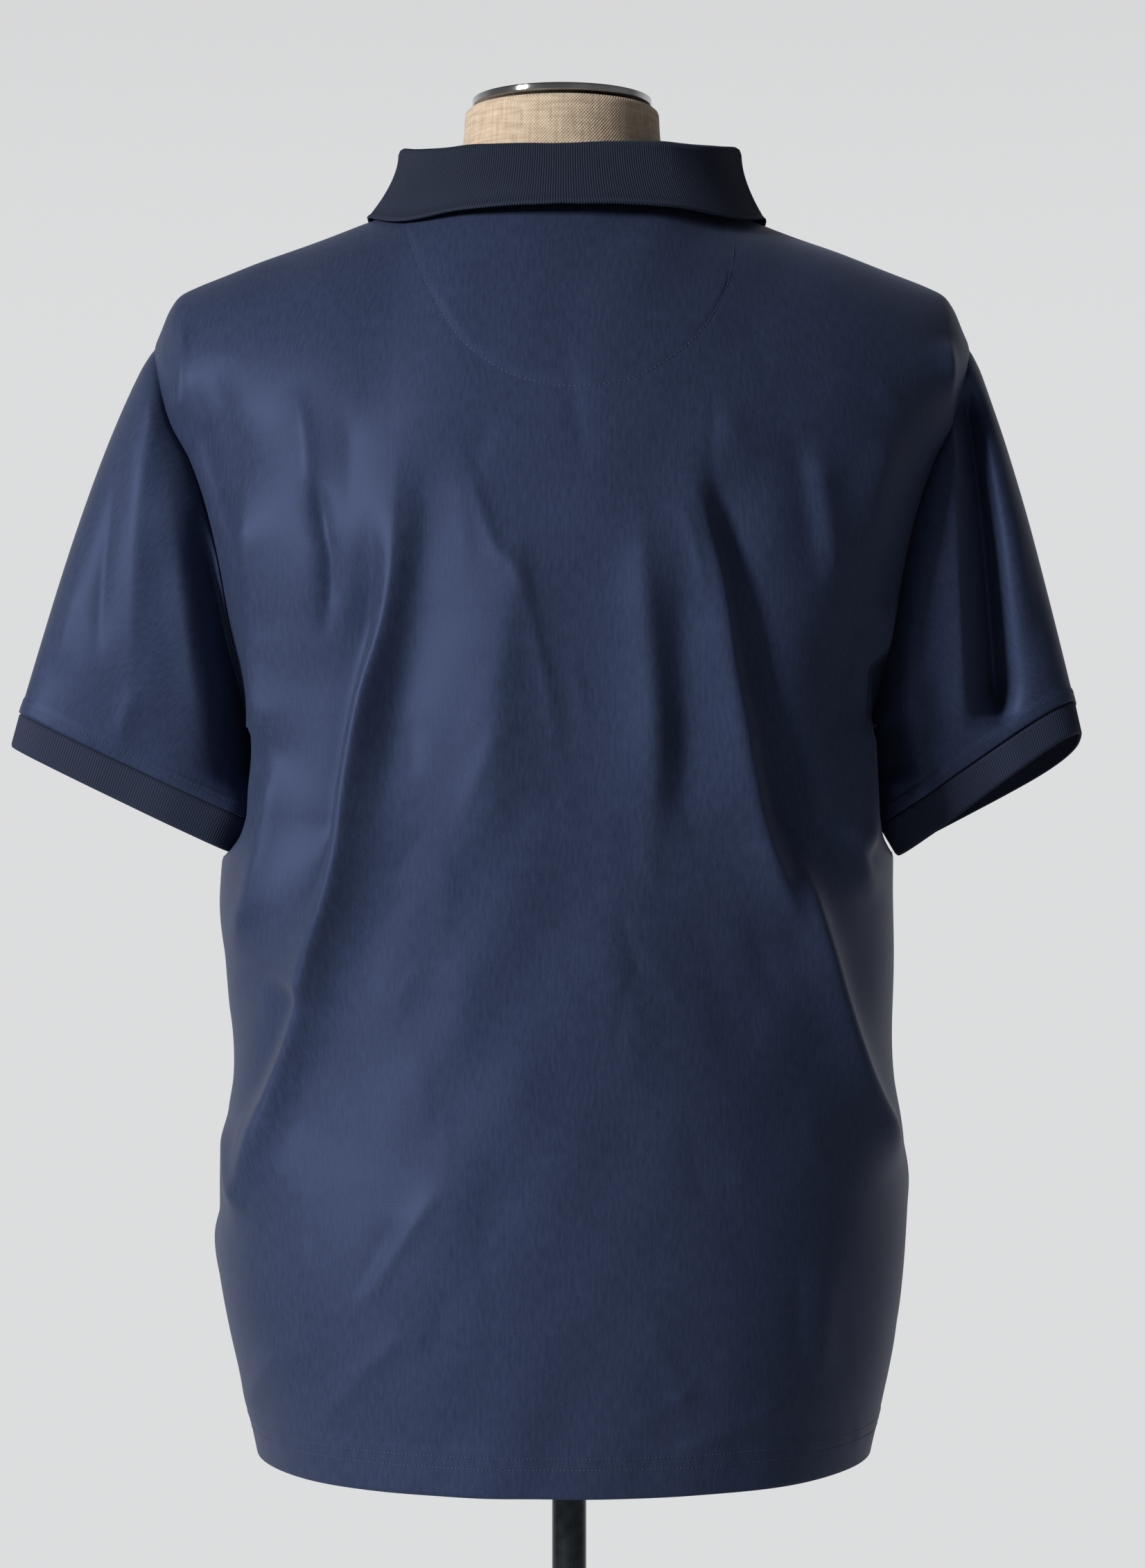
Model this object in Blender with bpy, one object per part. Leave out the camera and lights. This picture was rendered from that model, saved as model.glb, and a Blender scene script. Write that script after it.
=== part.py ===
"""A short-sleeved jersey polo shirt standing on a limbless linen dress form with a pole and a round base.

Metres, +Z up, the floor at z = 0.  The shirt's front faces -Y and its back +Y, so the wearer's left is +X.
The body of the shirt is worked out as one skin: level sections up to the chest, then arches that close over
the shoulder line.  The skin is cut into panels at the seams, and every panel gets a wall of its own.
"""
import math

import bmesh
import bpy
from mathutils import Vector

# ---------------------------------------------------------------- driving sizes
JERSEY = 0.0014            # wall of the jersey panels
RIB_KNIT = 0.0018          # wall of the knitted collar and cuffs
SEAM = 0.0003              # gap kept between neighbours
SHARED_LIMIT = 0.75        # cosine past which a piece keeps its own normal at a seam
SHIRT_X = 0.0045           # the form and shirt stand this far off the pole's axis

HEM_Z = 0.7485
UNDERARM_Z = 1.201
ARCH_Z = 1.266             # level sections end here and the shoulder arches begin
SCOOP = 0.075              # height over which the armhole curves in under the arm
NECK_HALF = 0.100          # half-width of the neckline on the shoulder line
NECK_BACK = 0.078          # how far the neckline reaches behind the shoulder line
NECK_FRONT = 0.104         # and in front of it

PLACKET_HALF = 0.016
PLACKET_LENGTH = 0.160
PLACKET_TUCK = 0.0012      # the upper strip ends this far under the collar's edge
BUTTON_RADIUS = 0.00575
BUTTON_THICK = 0.0026
BUTTON_DROPS = (0.016, 0.071, 0.126)      # down from the neckline

CUFF_DEPTH = 0.0235
SLEEVE_RINGS = 11

BASE_RADIUS = 0.175
BASE_THICK = 0.010
POLE_RADIUS = 0.0108
FORM_BOTTOM = 0.835
NECK_TOP = 1.5925
CAP_RADIUS = 0.0568
CAP_BOTTOM = 1.5950
CAP_TOP = 1.5995

COLUMNS = 15               # panel columns on each side of the centre line
NECK_COLUMN = 7            # the column that ends at the corner of the neckline
NECK_ROUND = 0.940         # the column before it meets the neckline at this share of its half-width
LEVEL_STEPS = 21           # rows between hem and underarm
SCOOP_STEPS = 4            # rows that round the underarm
ARCH_STEPS = 9             # rows of the arch up to the shoulder line

# ---------------------------------------------------------------- section tables
SECTION_COLUMNS = ("height", "left", "right", "back", "front", "power")
SECTIONS = (
    (0.7485, 0.1920, 0.1940, 0.168, 0.158, 2.20),
    (0.7655, 0.1955, 0.1975, 0.170, 0.160, 2.20),
    (0.7970, 0.2020, 0.2060, 0.173, 0.161, 2.20),
    (0.8290, 0.2100, 0.2115, 0.175, 0.161, 2.20),
    (0.8800, 0.2205, 0.2155, 0.175, 0.159, 2.20),
    (0.9157, 0.2115, 0.2200, 0.172, 0.157, 2.20),
    (0.9600, 0.2085, 0.2120, 0.168, 0.154, 2.20),
    (0.9850, 0.2040, 0.2080, 0.166, 0.152, 2.20),
    (1.0500, 0.2105, 0.2090, 0.163, 0.150, 2.25),
    (1.0900, 0.2150, 0.2085, 0.162, 0.149, 2.30),
    (1.1200, 0.2140, 0.2085, 0.161, 0.149, 2.40),
    (1.1450, 0.2110, 0.2080, 0.160, 0.148, 2.50),
    (1.1700, 0.2055, 0.2045, 0.159, 0.147, 2.60),
    (1.1900, 0.1985, 0.1985, 0.158, 0.146, 2.60),
    (1.2010, 0.1925, 0.1935, 0.158, 0.145, 2.60),
    (1.2660, 0.2070, 0.2070, 0.154, 0.137, 2.60),
)

SEAM_COLUMNS = ("height", "reach", "turn_back", "turn_front")      # the armhole seam, turns in degrees
ARMHOLE = (
    (1.201, 0.1925, 90, 90),
    (1.236, 0.2010, 81, 79),
    (1.266, 0.2070, 78, 75),
    (1.296, 0.2115, 76, 73),
    (1.330, 0.2190, 74, 71),
    (1.366, 0.2310, 72, 70),
    (1.389, 0.2430, 71, 69),
    (1.416, 0.2510, 70, 69),
    (1.441, 0.2575, 70, 69),
)

RIDGE_COLUMNS = ("reach", "height")                                # the shoulder line
RIDGE = (
    (0.0000, 1.5645),
    (0.0150, 1.5640),
    (0.0500, 1.5560),
    (0.1000, 1.5285),
    (0.1290, 1.5180),
    (0.1775, 1.5002),
    (0.2090, 1.4885),
    (0.2310, 1.4800),
    (0.2407, 1.4750),
    (0.2468, 1.4670),
    (0.2530, 1.4525),
    (0.2605, 1.4360),
)

FOLD_COLUMNS = ("x0", "z0", "x1", "z1", "bow", "width", "rise")
BACK_FOLDS = (
    (0.104, 1.372, 0.212, 0.890, -0.022, 0.022, 0.0065),
    (0.085, 1.372, 0.109, 1.180, -0.004, 0.016, -0.0045),
    (0.170, 1.030, 0.202, 0.955, 0.003, 0.016, -0.0060),
    (0.188, 1.155, 0.214, 1.055, -0.006, 0.016, 0.0040),
    (0.028, 1.320, 0.048, 1.120, 0.002, 0.030, 0.0035),
    (-0.074, 1.300, -0.080, 1.120, 0.000, 0.018, -0.0035),
    (-0.085, 1.355, -0.151, 1.070, 0.010, 0.018, 0.0055),
    (-0.100, 1.370, -0.162, 1.080, 0.012, 0.014, -0.0050),
    (-0.144, 1.130, -0.218, 0.925, 0.010, 0.014, 0.0050),
    (-0.161, 1.365, -0.174, 1.300, 0.000, 0.016, 0.0040),
    (0.077, 0.905, 0.136, 0.830, 0.004, 0.016, 0.0030),
)
FRONT_FOLDS = (
    (0.110, 1.330, 0.165, 0.960, -0.012, 0.022, 0.0055),
    (0.085, 1.330, 0.120, 1.060, -0.006, 0.016, -0.0040),
    (-0.115, 1.340, -0.170, 0.980, 0.012, 0.022, 0.0055),
    (-0.088, 1.320, -0.130, 1.040, 0.008, 0.016, -0.0040),
    (0.045, 1.020, 0.060, 0.830, 0.004, 0.022, 0.0035),
    (-0.050, 1.000, -0.075, 0.820, -0.004, 0.022, 0.0035),
)

CUFF_COLUMNS = ("side", "outer_x", "outer_z", "inner_x", "inner_z", "half_depth", "bulge", "lean", "tilt")
CUFF_RINGS = (
    ("left", 0.3395, 1.2110, 0.1965, 1.1440, 0.030, 0.006, -0.18, 0.000),
    ("right", 0.3215, 1.2140, 0.1985, 1.1410, 0.030, 0.004, -0.32, 0.006),
)
CUFF_SQUARE = 0.75         # 1 for an oval mouth, less for a flatter one
CUFF_BACK = 0.020          # the sleeves swing back by this much at the cuff
SLEEVE_SWELL = 0.016       # how far a sleeve's faces round out between the seams

# A sleeve lies against the body under the arm and presses its side in, behind the line PRESS_FROM_Y.
PRESS_COLUMNS = ("height", "reach")
PRESS = (
    (1.105, 0.2250),
    (1.117, 0.2150),
    (1.126, 0.2000),
    (1.136, 0.1920),
    (1.150, 0.1885),
    (1.195, 0.1885),
    (1.201, 0.1925),
)
PRESS_FROM_Y = -0.036
PRESS_FULL_Y = -0.008

# The leaf falls from the fold as steeply as it can and still clear the body; turns and steepness in degrees.
COLLAR_COLUMNS = ("turn", "foot_up", "fold_out", "fold_up", "fall", "spread", "steep", "clear")
COLLAR = (
    (0, 0.0003, 0.004, 0.0315, 0.0405, 0.000, 70, 0.0040),
    (20, 0.0003, 0.004, 0.0325, 0.0405, 0.000, 70, 0.0040),
    (40, 0.0003, 0.004, 0.0298, 0.0420, 0.000, 70, 0.0040),
    (60, 0.0003, 0.005, 0.0325, 0.0450, 0.000, 70, 0.0040),
    (90, 0.0013, 0.005, 0.0378, 0.0425, 0.000, 70, 0.0046),
    (120, 0.0006, 0.004, 0.0360, 0.0540, 0.006, 72, 0.0075),
    (150, 0.0003, 0.002, 0.0320, 0.0660, 0.022, 78, 0.0075),
    (180, 0.0003, 0.001, 0.0290, 0.0760, 0.040, 82, 0.0080),
)
COLLAR_SHIFT = -0.005      # the fold sits a little towards the wearer's right
COLLAR_BEND = 0.0026       # radius of the fold at the top of the collar
COLLAR_TILT = 0.0022       # and stands higher by up to this much on that side, behind the shoulder
COLLAR_FLARE = 1.7         # 1 for a straight leaf, more for one that turns outward near its edge

FORM_COLUMNS = ("height", "half_width", "back", "front", "power")
FORM_TORSO = (
    (0.835, 0.1480, 0.106, 0.098, 2.2),
    (0.840, 0.1540, 0.112, 0.104, 2.2),
    (0.870, 0.1640, 0.122, 0.112, 2.2),
    (0.930, 0.1700, 0.126, 0.114, 2.2),
    (1.050, 0.1640, 0.118, 0.112, 2.2),
    (1.170, 0.1680, 0.124, 0.116, 2.3),
    (1.260, 0.1800, 0.128, 0.116, 2.4),
    (1.340, 0.1930, 0.124, 0.106, 2.4),
    (1.400, 0.2120, 0.108, 0.090, 2.3),
    (1.440, 0.2270, 0.078, 0.064, 2.1),
    (1.460, 0.2330, 0.060, 0.048, 2.0),
)
SHOULDER_COLUMNS = ("reach", "drop", "back", "front")      # drop: below the cloth's outer face
FORM_SHOULDER = (
    (0.2350, 0.0022, 0.045, 0.036),
    (0.2200, 0.0021, 0.042, 0.035),
    (0.2000, 0.0021, 0.042, 0.036),
    (0.1700, 0.0021, 0.046, 0.040),
    (0.1450, 0.0022, 0.050, 0.044),
    (0.1150, 0.0045, 0.055, 0.050),
    (0.0900, 0.0090, 0.058, 0.055),
)
FORM_NECK = (
    (1.5400, 0.0740, 0.0600, 0.0580, 2.0),
    (1.5560, 0.0665, 0.0600, 0.0585, 2.0),
    (1.5750, 0.0622, 0.0600, 0.0590, 2.0),
    (1.5895, 0.0612, 0.0595, 0.0590, 2.0),
    (1.5925, 0.0585, 0.0570, 0.0565, 2.0),
)
FORM_SIDES = 36


def rows_of(columns, table):
    return [dict(zip(columns, row)) for row in table]


def smooth_read(rows, key, at, column):
    """Value of a column at a place along the table, on a monotone cubic through its rows."""
    if at <= rows[0][key]:
        return rows[0][column]
    if at >= rows[-1][key]:
        return rows[-1][column]
    places = [row[key] for row in rows]
    values = [row[column] for row in rows]
    last = len(rows) - 2
    i = max(k for k in range(last + 1) if places[k] <= at)
    slopes = []
    for k in (i - 1, i, i + 1):
        k = min(max(k, 0), last)
        slopes.append((values[k + 1] - values[k]) / (places[k + 1] - places[k]))
    before, here, after = slopes

    def tangent(one, two):
        return 0.0 if one * two <= 0.0 else 2.0 * one * two / (one + two)

    span = places[i + 1] - places[i]
    s = (at - places[i]) / span
    start = tangent(before, here) * span
    end = tangent(here, after) * span
    return ((2 * s ** 3 - 3 * s ** 2 + 1) * values[i] + (s ** 3 - 2 * s ** 2 + s) * start
            + (3 * s ** 2 - 2 * s ** 3) * values[i + 1] + (s ** 3 - s ** 2) * end)


SECTION_ROWS = rows_of(SECTION_COLUMNS, SECTIONS)
ARMHOLE_ROWS = rows_of(SEAM_COLUMNS, ARMHOLE)
RIDGE_ROWS = rows_of(RIDGE_COLUMNS, RIDGE)
PRESS_ROWS = rows_of(PRESS_COLUMNS, PRESS)


def section(height, column):
    return smooth_read(SECTION_ROWS, "height", height, column)


def armhole(height, column):
    return smooth_read(ARMHOLE_ROWS, "height", height, column)


def ridge(reach):
    return smooth_read(RIDGE_ROWS, "reach", abs(reach), "height")


# ---------------------------------------------------------------- the shirt's skin
def fold_offset(folds, x, z):
    """How far the skin stands out at a place on a panel, summed over the panel's folds."""
    total = 0.0
    for fold in folds:
        dx = fold["x1"] - fold["x0"]
        dz = fold["z1"] - fold["z0"]
        length = math.hypot(dx, dz)
        along = ((x - fold["x0"]) * dx + (z - fold["z0"]) * dz) / length ** 2
        if not 0.0 < along < 1.0:
            continue
        across = ((x - fold["x0"]) * dz - (z - fold["z0"]) * dx) / length
        across -= 4.0 * fold["bow"] * along * (1.0 - along) * (-1.0 if dz < 0.0 else 1.0)
        taper = min(1.0, 4.0 * along, 4.0 * (1.0 - along))
        total += fold["rise"] * taper * taper * (3.0 - 2.0 * taper) * math.exp(-(across / fold["width"]) ** 2)
    return total


BACK_FOLD_ROWS = rows_of(FOLD_COLUMNS, BACK_FOLDS)
FRONT_FOLD_ROWS = rows_of(FOLD_COLUMNS, FRONT_FOLDS)


def scooped_turn(height, face):
    """Turn at which a row meets the armhole; a quarter ellipse rounds the underarm."""
    if height <= UNDERARM_Z:
        return math.radians(90.0)
    full = armhole(max(height, UNDERARM_Z + 0.5 * SCOOP), "turn_" + face)
    part = min(1.0, (height - UNDERARM_Z) / SCOOP)
    return math.radians(90.0 - (90.0 - full) * math.sqrt(1.0 - (1.0 - part) ** 2))


def row_reach(face, side, height, rise):
    """Reach of a row's end and the height there, for a level row (rise 0) or an arch row."""
    if height <= UNDERARM_Z:
        return section(height, side), height
    if rise == 0.0:
        return armhole(height, "reach"), height
    reach = armhole(ARMHOLE_ROWS[-1]["height"], "reach")
    for _ in range(40):
        end = ARCH_Z + (ridge(reach) - ARCH_Z) * math.sin(rise)
        reach = 0.5 * (reach + armhole(end, "reach"))
    return reach, end


def neck_limit(face, x, depth_there):
    """Rise at which a column meets the neckline, or the shoulder line outside the neck."""
    share = abs(x) / NECK_HALF
    if share >= 1.0 - 1e-6:
        return 0.5 * math.pi
    reach = NECK_BACK if face == "back" else NECK_FRONT
    return math.acos(min(1.0, reach * math.sqrt(1.0 - share ** 2) / depth_there))


def column_turn(half, power, turn_end, column):
    """Turn of a column: even steps between the placket's edge, the neckline's corner and the seam."""
    marks = (
        (0.0, 0.0),
        (1.0, math.asin((PLACKET_HALF / half) ** (0.5 * power))),
        (NECK_COLUMN - 1, math.asin((NECK_ROUND * NECK_HALF / half) ** (0.5 * power))),
        (NECK_COLUMN, math.asin((NECK_HALF / half) ** (0.5 * power))),
        (COLUMNS, turn_end),
    )
    for (start, turn_start), (end, turn_stop) in zip(marks, marks[1:]):
        if column <= end:
            return turn_start + (turn_stop - turn_start) * (column - start) / (end - start)
    return turn_end


def pressed_in(x, y, z):
    """How far the side moves in where a sleeve lies against it."""
    if not PRESS_ROWS[0]["height"] < z <= UNDERARM_Z or y <= PRESS_FROM_Y:
        return 0.0
    part = min(1.0, (y - PRESS_FROM_Y) / (PRESS_FULL_Y - PRESS_FROM_Y))
    excess = max(0.0, x - smooth_read(PRESS_ROWS, "height", z, "reach"))
    return excess * part * part * (3.0 - 2.0 * part)


def skin_point(face, side, turn_share, height, arch_share):
    """A point of the skin: face back or front, side left or right, share 0 at the centre to 1 at the edge."""
    rise = 0.5 * math.pi * arch_share
    reach, end = row_reach(face, side, height, rise)
    turn_end = scooped_turn(end if arch_share > 0.0 else height, face)
    power = section(height, "power")
    depth = section(height, face)
    half = reach / math.sin(turn_end) ** (2.0 / power)
    turn = column_turn(half, power, turn_end, turn_share * COLUMNS)
    x = half * math.sin(turn) ** (2.0 / power)
    out = depth * max(0.0, math.cos(turn)) ** (2.0 / power)
    z = height
    if arch_share > 0.0:
        rise = arch_share * neck_limit(face, x, out)
        z = ARCH_Z + (ridge(x) - ARCH_Z) * math.sin(rise)
        out = out * math.cos(rise)
    sign = 1.0 if side == "left" else -1.0
    way = 1.0 if face == "back" else -1.0
    point = Vector((sign * (x - pressed_in(x, way * out, z)), way * out, z))
    folds = BACK_FOLD_ROWS if face == "back" else FRONT_FOLD_ROWS
    stand = fold_offset(folds, point.x, z) * min(1.0, 6.0 * (1.0 - turn_share))
    normal = Vector((sign * math.sin(turn), way * math.cos(turn), 0.0))
    return point + normal * stand


def row_levels():
    """(height, arch share) of every row, hem to shoulder line; the index of the underarm row comes too."""
    levels = []
    for i in range(LEVEL_STEPS + 1):
        levels.append((HEM_Z + (UNDERARM_Z - HEM_Z) * i / LEVEL_STEPS, 0.0))
    underarm = len(levels) - 1
    for i in range(1, SCOOP_STEPS + 1):
        levels.append((UNDERARM_Z + (ARCH_Z - UNDERARM_Z) * (i / SCOOP_STEPS) ** 1.5, 0.0))
    for i in range(1, ARCH_STEPS + 1):
        levels.append((ARCH_Z, 1.0 - (1.0 - i / ARCH_STEPS) ** 1.2))
    return levels, underarm


def panel_grid(face):
    """Rows of points from the wearer's left (+X) edge to the right edge."""
    levels, _ = row_levels()
    grid = []
    for height, arch_share in levels:
        left = [skin_point(face, "left", k / COLUMNS, height, arch_share) for k in range(COLUMNS, 0, -1)]
        right = [skin_point(face, "right", k / COLUMNS, height, arch_share) for k in range(0, COLUMNS + 1)]
        grid.append(left + right)
    return grid


# ---------------------------------------------------------------- sleeves and cuffs
def armhole_loop(side, back, front, underarm):
    """The armhole from the shoulder line down the back, under the arm and up the front."""
    edge = 0 if side == "left" else -1
    down = [row[edge] for row in reversed(back[underarm:])]
    up = [row[edge] for row in front[underarm + 1:-1]]
    return [point.copy() for point in down + up]


def loop_turns(loop):
    """Turn round the sleeve for each point of the armhole, read from its height: 0 on top, 180 underneath."""
    low = min(range(len(loop)), key=lambda i: loop[i].z)
    top = loop[0].z
    bottom = loop[low].z
    turns = []
    for i, point in enumerate(loop):
        turn = math.acos(max(-1.0, min(1.0, 2.0 * (point.z - bottom) / (top - bottom) - 1.0)))
        turns.append(turn if i <= low else 2.0 * math.pi - turn)
    return turns


def cuff_point(ring, sign, turn, slide):
    """Point of the sleeve's lower ring; turn 0 is its outer end and half a turn its inner end."""
    outer = Vector((sign * ring["outer_x"], 0.0, ring["outer_z"]))
    inner = Vector((sign * ring["inner_x"], 0.0, ring["inner_z"]))
    centre = 0.5 * (outer + inner) + Vector((0.0, CUFF_BACK, 0.0))
    across = 0.5 * (outer - inner)
    swing = math.copysign(abs(math.cos(turn)) ** CUFF_SQUARE, math.cos(turn))
    sway = math.copysign(abs(math.sin(turn)) ** CUFF_SQUARE, math.sin(turn))
    point = centre + across * swing
    point += Vector((0.0, ring["half_depth"], ring["tilt"] * (1.0 + swing))) * sway
    along = Vector((across.z, 0.0, -across.x)) * sign
    along.normalize()
    lean = sign * ring["lean"] * 0.5 * (1.0 + swing)
    return point + slide * (along + Vector((lean, 0.0, 0.0)))


def sleeve_grid(side, loop):
    """Rings of the sleeve, from the armhole down to the cuff seam."""
    ring = next(row for row in rows_of(CUFF_COLUMNS, CUFF_RINGS) if row["side"] == side)
    sign = 1.0 if side == "left" else -1.0
    turns = loop_turns(loop)
    grid = []
    for k in range(SLEEVE_RINGS + 1):
        s = k / SLEEVE_RINGS
        row = []
        for start, turn in zip(loop, turns):
            point = start.lerp(cuff_point(ring, sign, turn, 0.0), s)
            top = max(0.0, math.cos(turn)) ** 1.5
            point += Vector((sign * 0.92, 0.0, 0.39)) * ring["bulge"] * top * math.sin(math.pi * s ** 0.75)
            swell = SLEEVE_SWELL * abs(math.sin(turn)) ** 0.6 * math.sin(math.pi * s ** 0.6)
            point.y += math.copysign(swell, math.sin(turn))
            row.append(point)
        grid.append(row)
    return grid, ring, turns, sign


def cuff_grid(ring, turns, sign):
    return [[cuff_point(ring, sign, turn, CUFF_DEPTH * k / 2.0) for turn in turns] for k in range(3)]


# ---------------------------------------------------------------- collar
def neckline(back, front):
    """Neckline from the front centre, up the wearer's left side, round the back and down the right."""
    limit = NECK_HALF + 1e-4
    rear = [p.copy() for p in back[-1] if abs(p.x) < limit]
    fore = [p.copy() for p in front[-1] if abs(p.x) < NECK_HALF - 1e-4]
    left = [p for p in fore if p.x > 0.5 * PLACKET_HALF]
    right = [p for p in fore if p.x < -0.5 * PLACKET_HALF]
    centre = min(fore, key=lambda p: abs(p.x))
    nose = 0.0015
    start = Vector((nose, centre.y, centre.z))
    finish = Vector((-nose, centre.y, centre.z))
    return [start] + left[::-1] + rear + right[::-1] + [finish]


def clearance(point):
    """Roughly how far a point stands off the upper body's skin."""

    def level(x, y, z):
        out = section(ARCH_Z, "back" if y >= 0.0 else "front")
        power = section(ARCH_Z, "power")
        out *= (1.0 - min(0.98, abs(x) / RIDGE_ROWS[-1]["reach"]) ** power) ** (1.0 / power)
        return ((z - ARCH_Z) / (ridge(x) - ARCH_Z)) ** 2 + (y / out) ** 2 - 1.0

    step = 0.0005
    here = level(point.x, point.y, point.z)
    slope = Vector((level(point.x + step, point.y, point.z) - here,
                    level(point.x, point.y + step, point.z) - here,
                    level(point.x, point.y, point.z + step) - here)) / step
    return here / max(slope.length, 1e-6)


def collar_grid(line):
    """Rows across the collar: up the stand, over the fold and down the leaf."""
    table = rows_of(COLLAR_COLUMNS, COLLAR)
    grid = []
    for point in line:
        reach = NECK_BACK if point.y >= 0.0 else NECK_FRONT
        spin = math.atan2(abs(point.x) / NECK_HALF, point.y / reach)
        turn = math.degrees(spin)
        sign = 1.0 if point.x >= 0.0 else -1.0
        now = {column: smooth_read(table, "turn", turn, column) for column in COLLAR_COLUMNS}
        out = now["fold_out"]
        fold = Vector((sign * (NECK_HALF + out) * math.sin(spin), (reach + out) * math.cos(spin),
                       point.z + now["fold_up"]))
        outward = Vector((fold.x, fold.y, 0.0)).normalized()
        fold.x += COLLAR_SHIFT * math.sin(spin)
        if sign < 0.0:
            fold.z += COLLAR_TILT * max(0.0, math.sin(2.0 * spin))
        foot = point + Vector((0.0, 0.0, now["foot_up"]))
        fold_in = fold - outward * COLLAR_BEND - Vector((0.0, 0.0, COLLAR_BEND))
        fold_out = fold + outward * COLLAR_BEND - Vector((0.0, 0.0, COLLAR_BEND))
        aside = Vector((sign * now["spread"], 0.0, 0.0))
        for step in range(60):
            lean = math.radians(now["steep"] - step)
            reach_out = outward * (now["fall"] * math.cos(lean))
            drop = Vector((0.0, 0.0, now["fall"] * math.sin(lean)))
            leaf = [fold_out + share ** COLLAR_FLARE * reach_out - share * drop + share * share * aside
                    for share in (0.33, 0.67, 1.0)]
            if min(clearance(place) for place in leaf[1:]) >= now["clear"]:
                break
        grid.append([foot, foot.lerp(fold_in, 0.5), fold_in, fold, fold_out] + leaf)
    return grid


# ---------------------------------------------------------------- walls
def place_key(point):
    return (round(point.x, 5), round(point.y, 5), round(point.z, 5))


def grid_normals(grid, closed, shared):
    """Adds every quad's normal to its corners, keyed by place so that pieces share them at seams."""
    rows = len(grid)
    count = len(grid[0])
    for i in range(rows - 1):
        for j in range(count if closed else count - 1):
            k = (j + 1) % count
            quad = (grid[i][j], grid[i][k], grid[i + 1][k], grid[i + 1][j])
            normal = (quad[2] - quad[0]).cross(quad[3] - quad[1])
            for corner in quad:
                key = place_key(corner)
                shared[key] = shared.get(key, Vector()) + normal


def drawn_in(grid, closed, i, j):
    """A border point moved half a seam gap into its own piece."""
    rows = len(grid)
    count = len(grid[0])
    point = grid[i][j]
    pull = Vector()
    if i in (0, rows - 1):
        pull += (grid[i + 1 if i == 0 else i - 1][j] - point).normalized()
    if not closed and j in (0, count - 1):
        pull += (grid[i][j + 1 if j == 0 else j - 1] - point).normalized()
    return point + pull * 0.5 * SEAM


def make_mesh(name, verts, faces, material):
    mesh = bpy.data.meshes.new(name)
    mesh.from_pydata([v + Vector((SHIRT_X, 0.0, 0.0)) for v in verts], [], faces)
    obj = bpy.data.objects.new(name, mesh)
    bpy.context.scene.collection.objects.link(obj)
    mesh.materials.append(material)
    work = bmesh.new()
    work.from_mesh(mesh)
    bmesh.ops.remove_doubles(work, verts=work.verts, dist=1e-6)
    bmesh.ops.recalc_face_normals(work, faces=work.faces)
    bmesh.ops.triangulate(work, faces=work.faces, quad_method="SHORT_EDGE")
    work.to_mesh(mesh)
    work.free()
    mesh.shade_smooth()
    mesh.set_sharp_from_angle(angle=math.radians(50.0))
    return obj


def wall(name, grid, thickness, material, normals, closed=False, cut=None, lift=0.0, stand_off_row=None):
    """A closed wall: outer skin on the grid, inner skin one thickness inside, joined along all borders.

    Neighbours share their normals at a seam, unless the seam lies in a deep fold.  The stand-off row moves
    out of the neighbour's face by one seam gap.
    """
    rows = len(grid)
    count = len(grid[0])
    own_normals = {}
    grid_normals(grid, closed, own_normals)
    verts = []
    for skin in (0, 1):
        for i in range(rows):
            for j in range(count):
                key = place_key(grid[i][j])
                own = own_normals[key].normalized()
                normal = normals[key].normalized()
                if own.dot(normal) < SHARED_LIMIT:
                    normal = own
                place = drawn_in(grid, closed, i, j)
                if i == stand_off_row:
                    place = place + (normals[key] - own_normals[key]).normalized() * SEAM
                verts.append(place + normal * (lift - skin * thickness))
    half = rows * count
    quads = []
    for i in range(rows - 1):
        for j in range(count if closed else count - 1):
            if cut and cut(i, j):
                continue
            k = (j + 1) % count
            quads.append((i * count + j, i * count + k, (i + 1) * count + k, (i + 1) * count + j))
    faces = []
    used = {}
    for quad in quads:
        faces.append(quad)
        faces.append(tuple(v + half for v in reversed(quad)))
        for one, two in zip(quad, quad[1:] + quad[:1]):
            used[(one, two)] = True
    for one, two in used:
        if (two, one) not in used:
            faces.append((two, one, one + half, two + half))
    kept = sorted({v for face in faces for v in face})
    order = {v: n for n, v in enumerate(kept)}
    return make_mesh(name, [verts[v] for v in kept], [tuple(order[v] for v in face) for face in faces], material)


# ---------------------------------------------------------------- turned and lofted pieces
def turned(name, profile, sides, material, centre_x=0.0, spin_y=1.0):
    """A closed body turned round the upright axis; profile rows are (radius, height), bottom to top."""
    verts = []
    for radius, height in profile:
        for k in range(sides):
            spin = 2.0 * math.pi * k / sides
            verts.append(Vector((centre_x - SHIRT_X + radius * math.cos(spin),
                                 spin_y * radius * math.sin(spin), height)))
    faces = []
    for i in range(len(profile) - 1):
        for k in range(sides):
            n = (k + 1) % sides
            faces.append((i * sides + k, i * sides + n, (i + 1) * sides + n, (i + 1) * sides + k))
    faces.append(tuple(reversed(range(sides))))
    faces.append(tuple((len(profile) - 1) * sides + k for k in range(sides)))
    return make_mesh(name, verts, faces, material)


def form_rings():
    rings = rows_of(FORM_COLUMNS, FORM_TORSO)
    for row in rows_of(SHOULDER_COLUMNS, FORM_SHOULDER):
        rings.append({"height": ridge(row["reach"]) - row["drop"], "half_width": row["reach"],
                      "back": row["back"], "front": row["front"], "power": 2.0})
    return rings + rows_of(FORM_COLUMNS, FORM_NECK)


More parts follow.
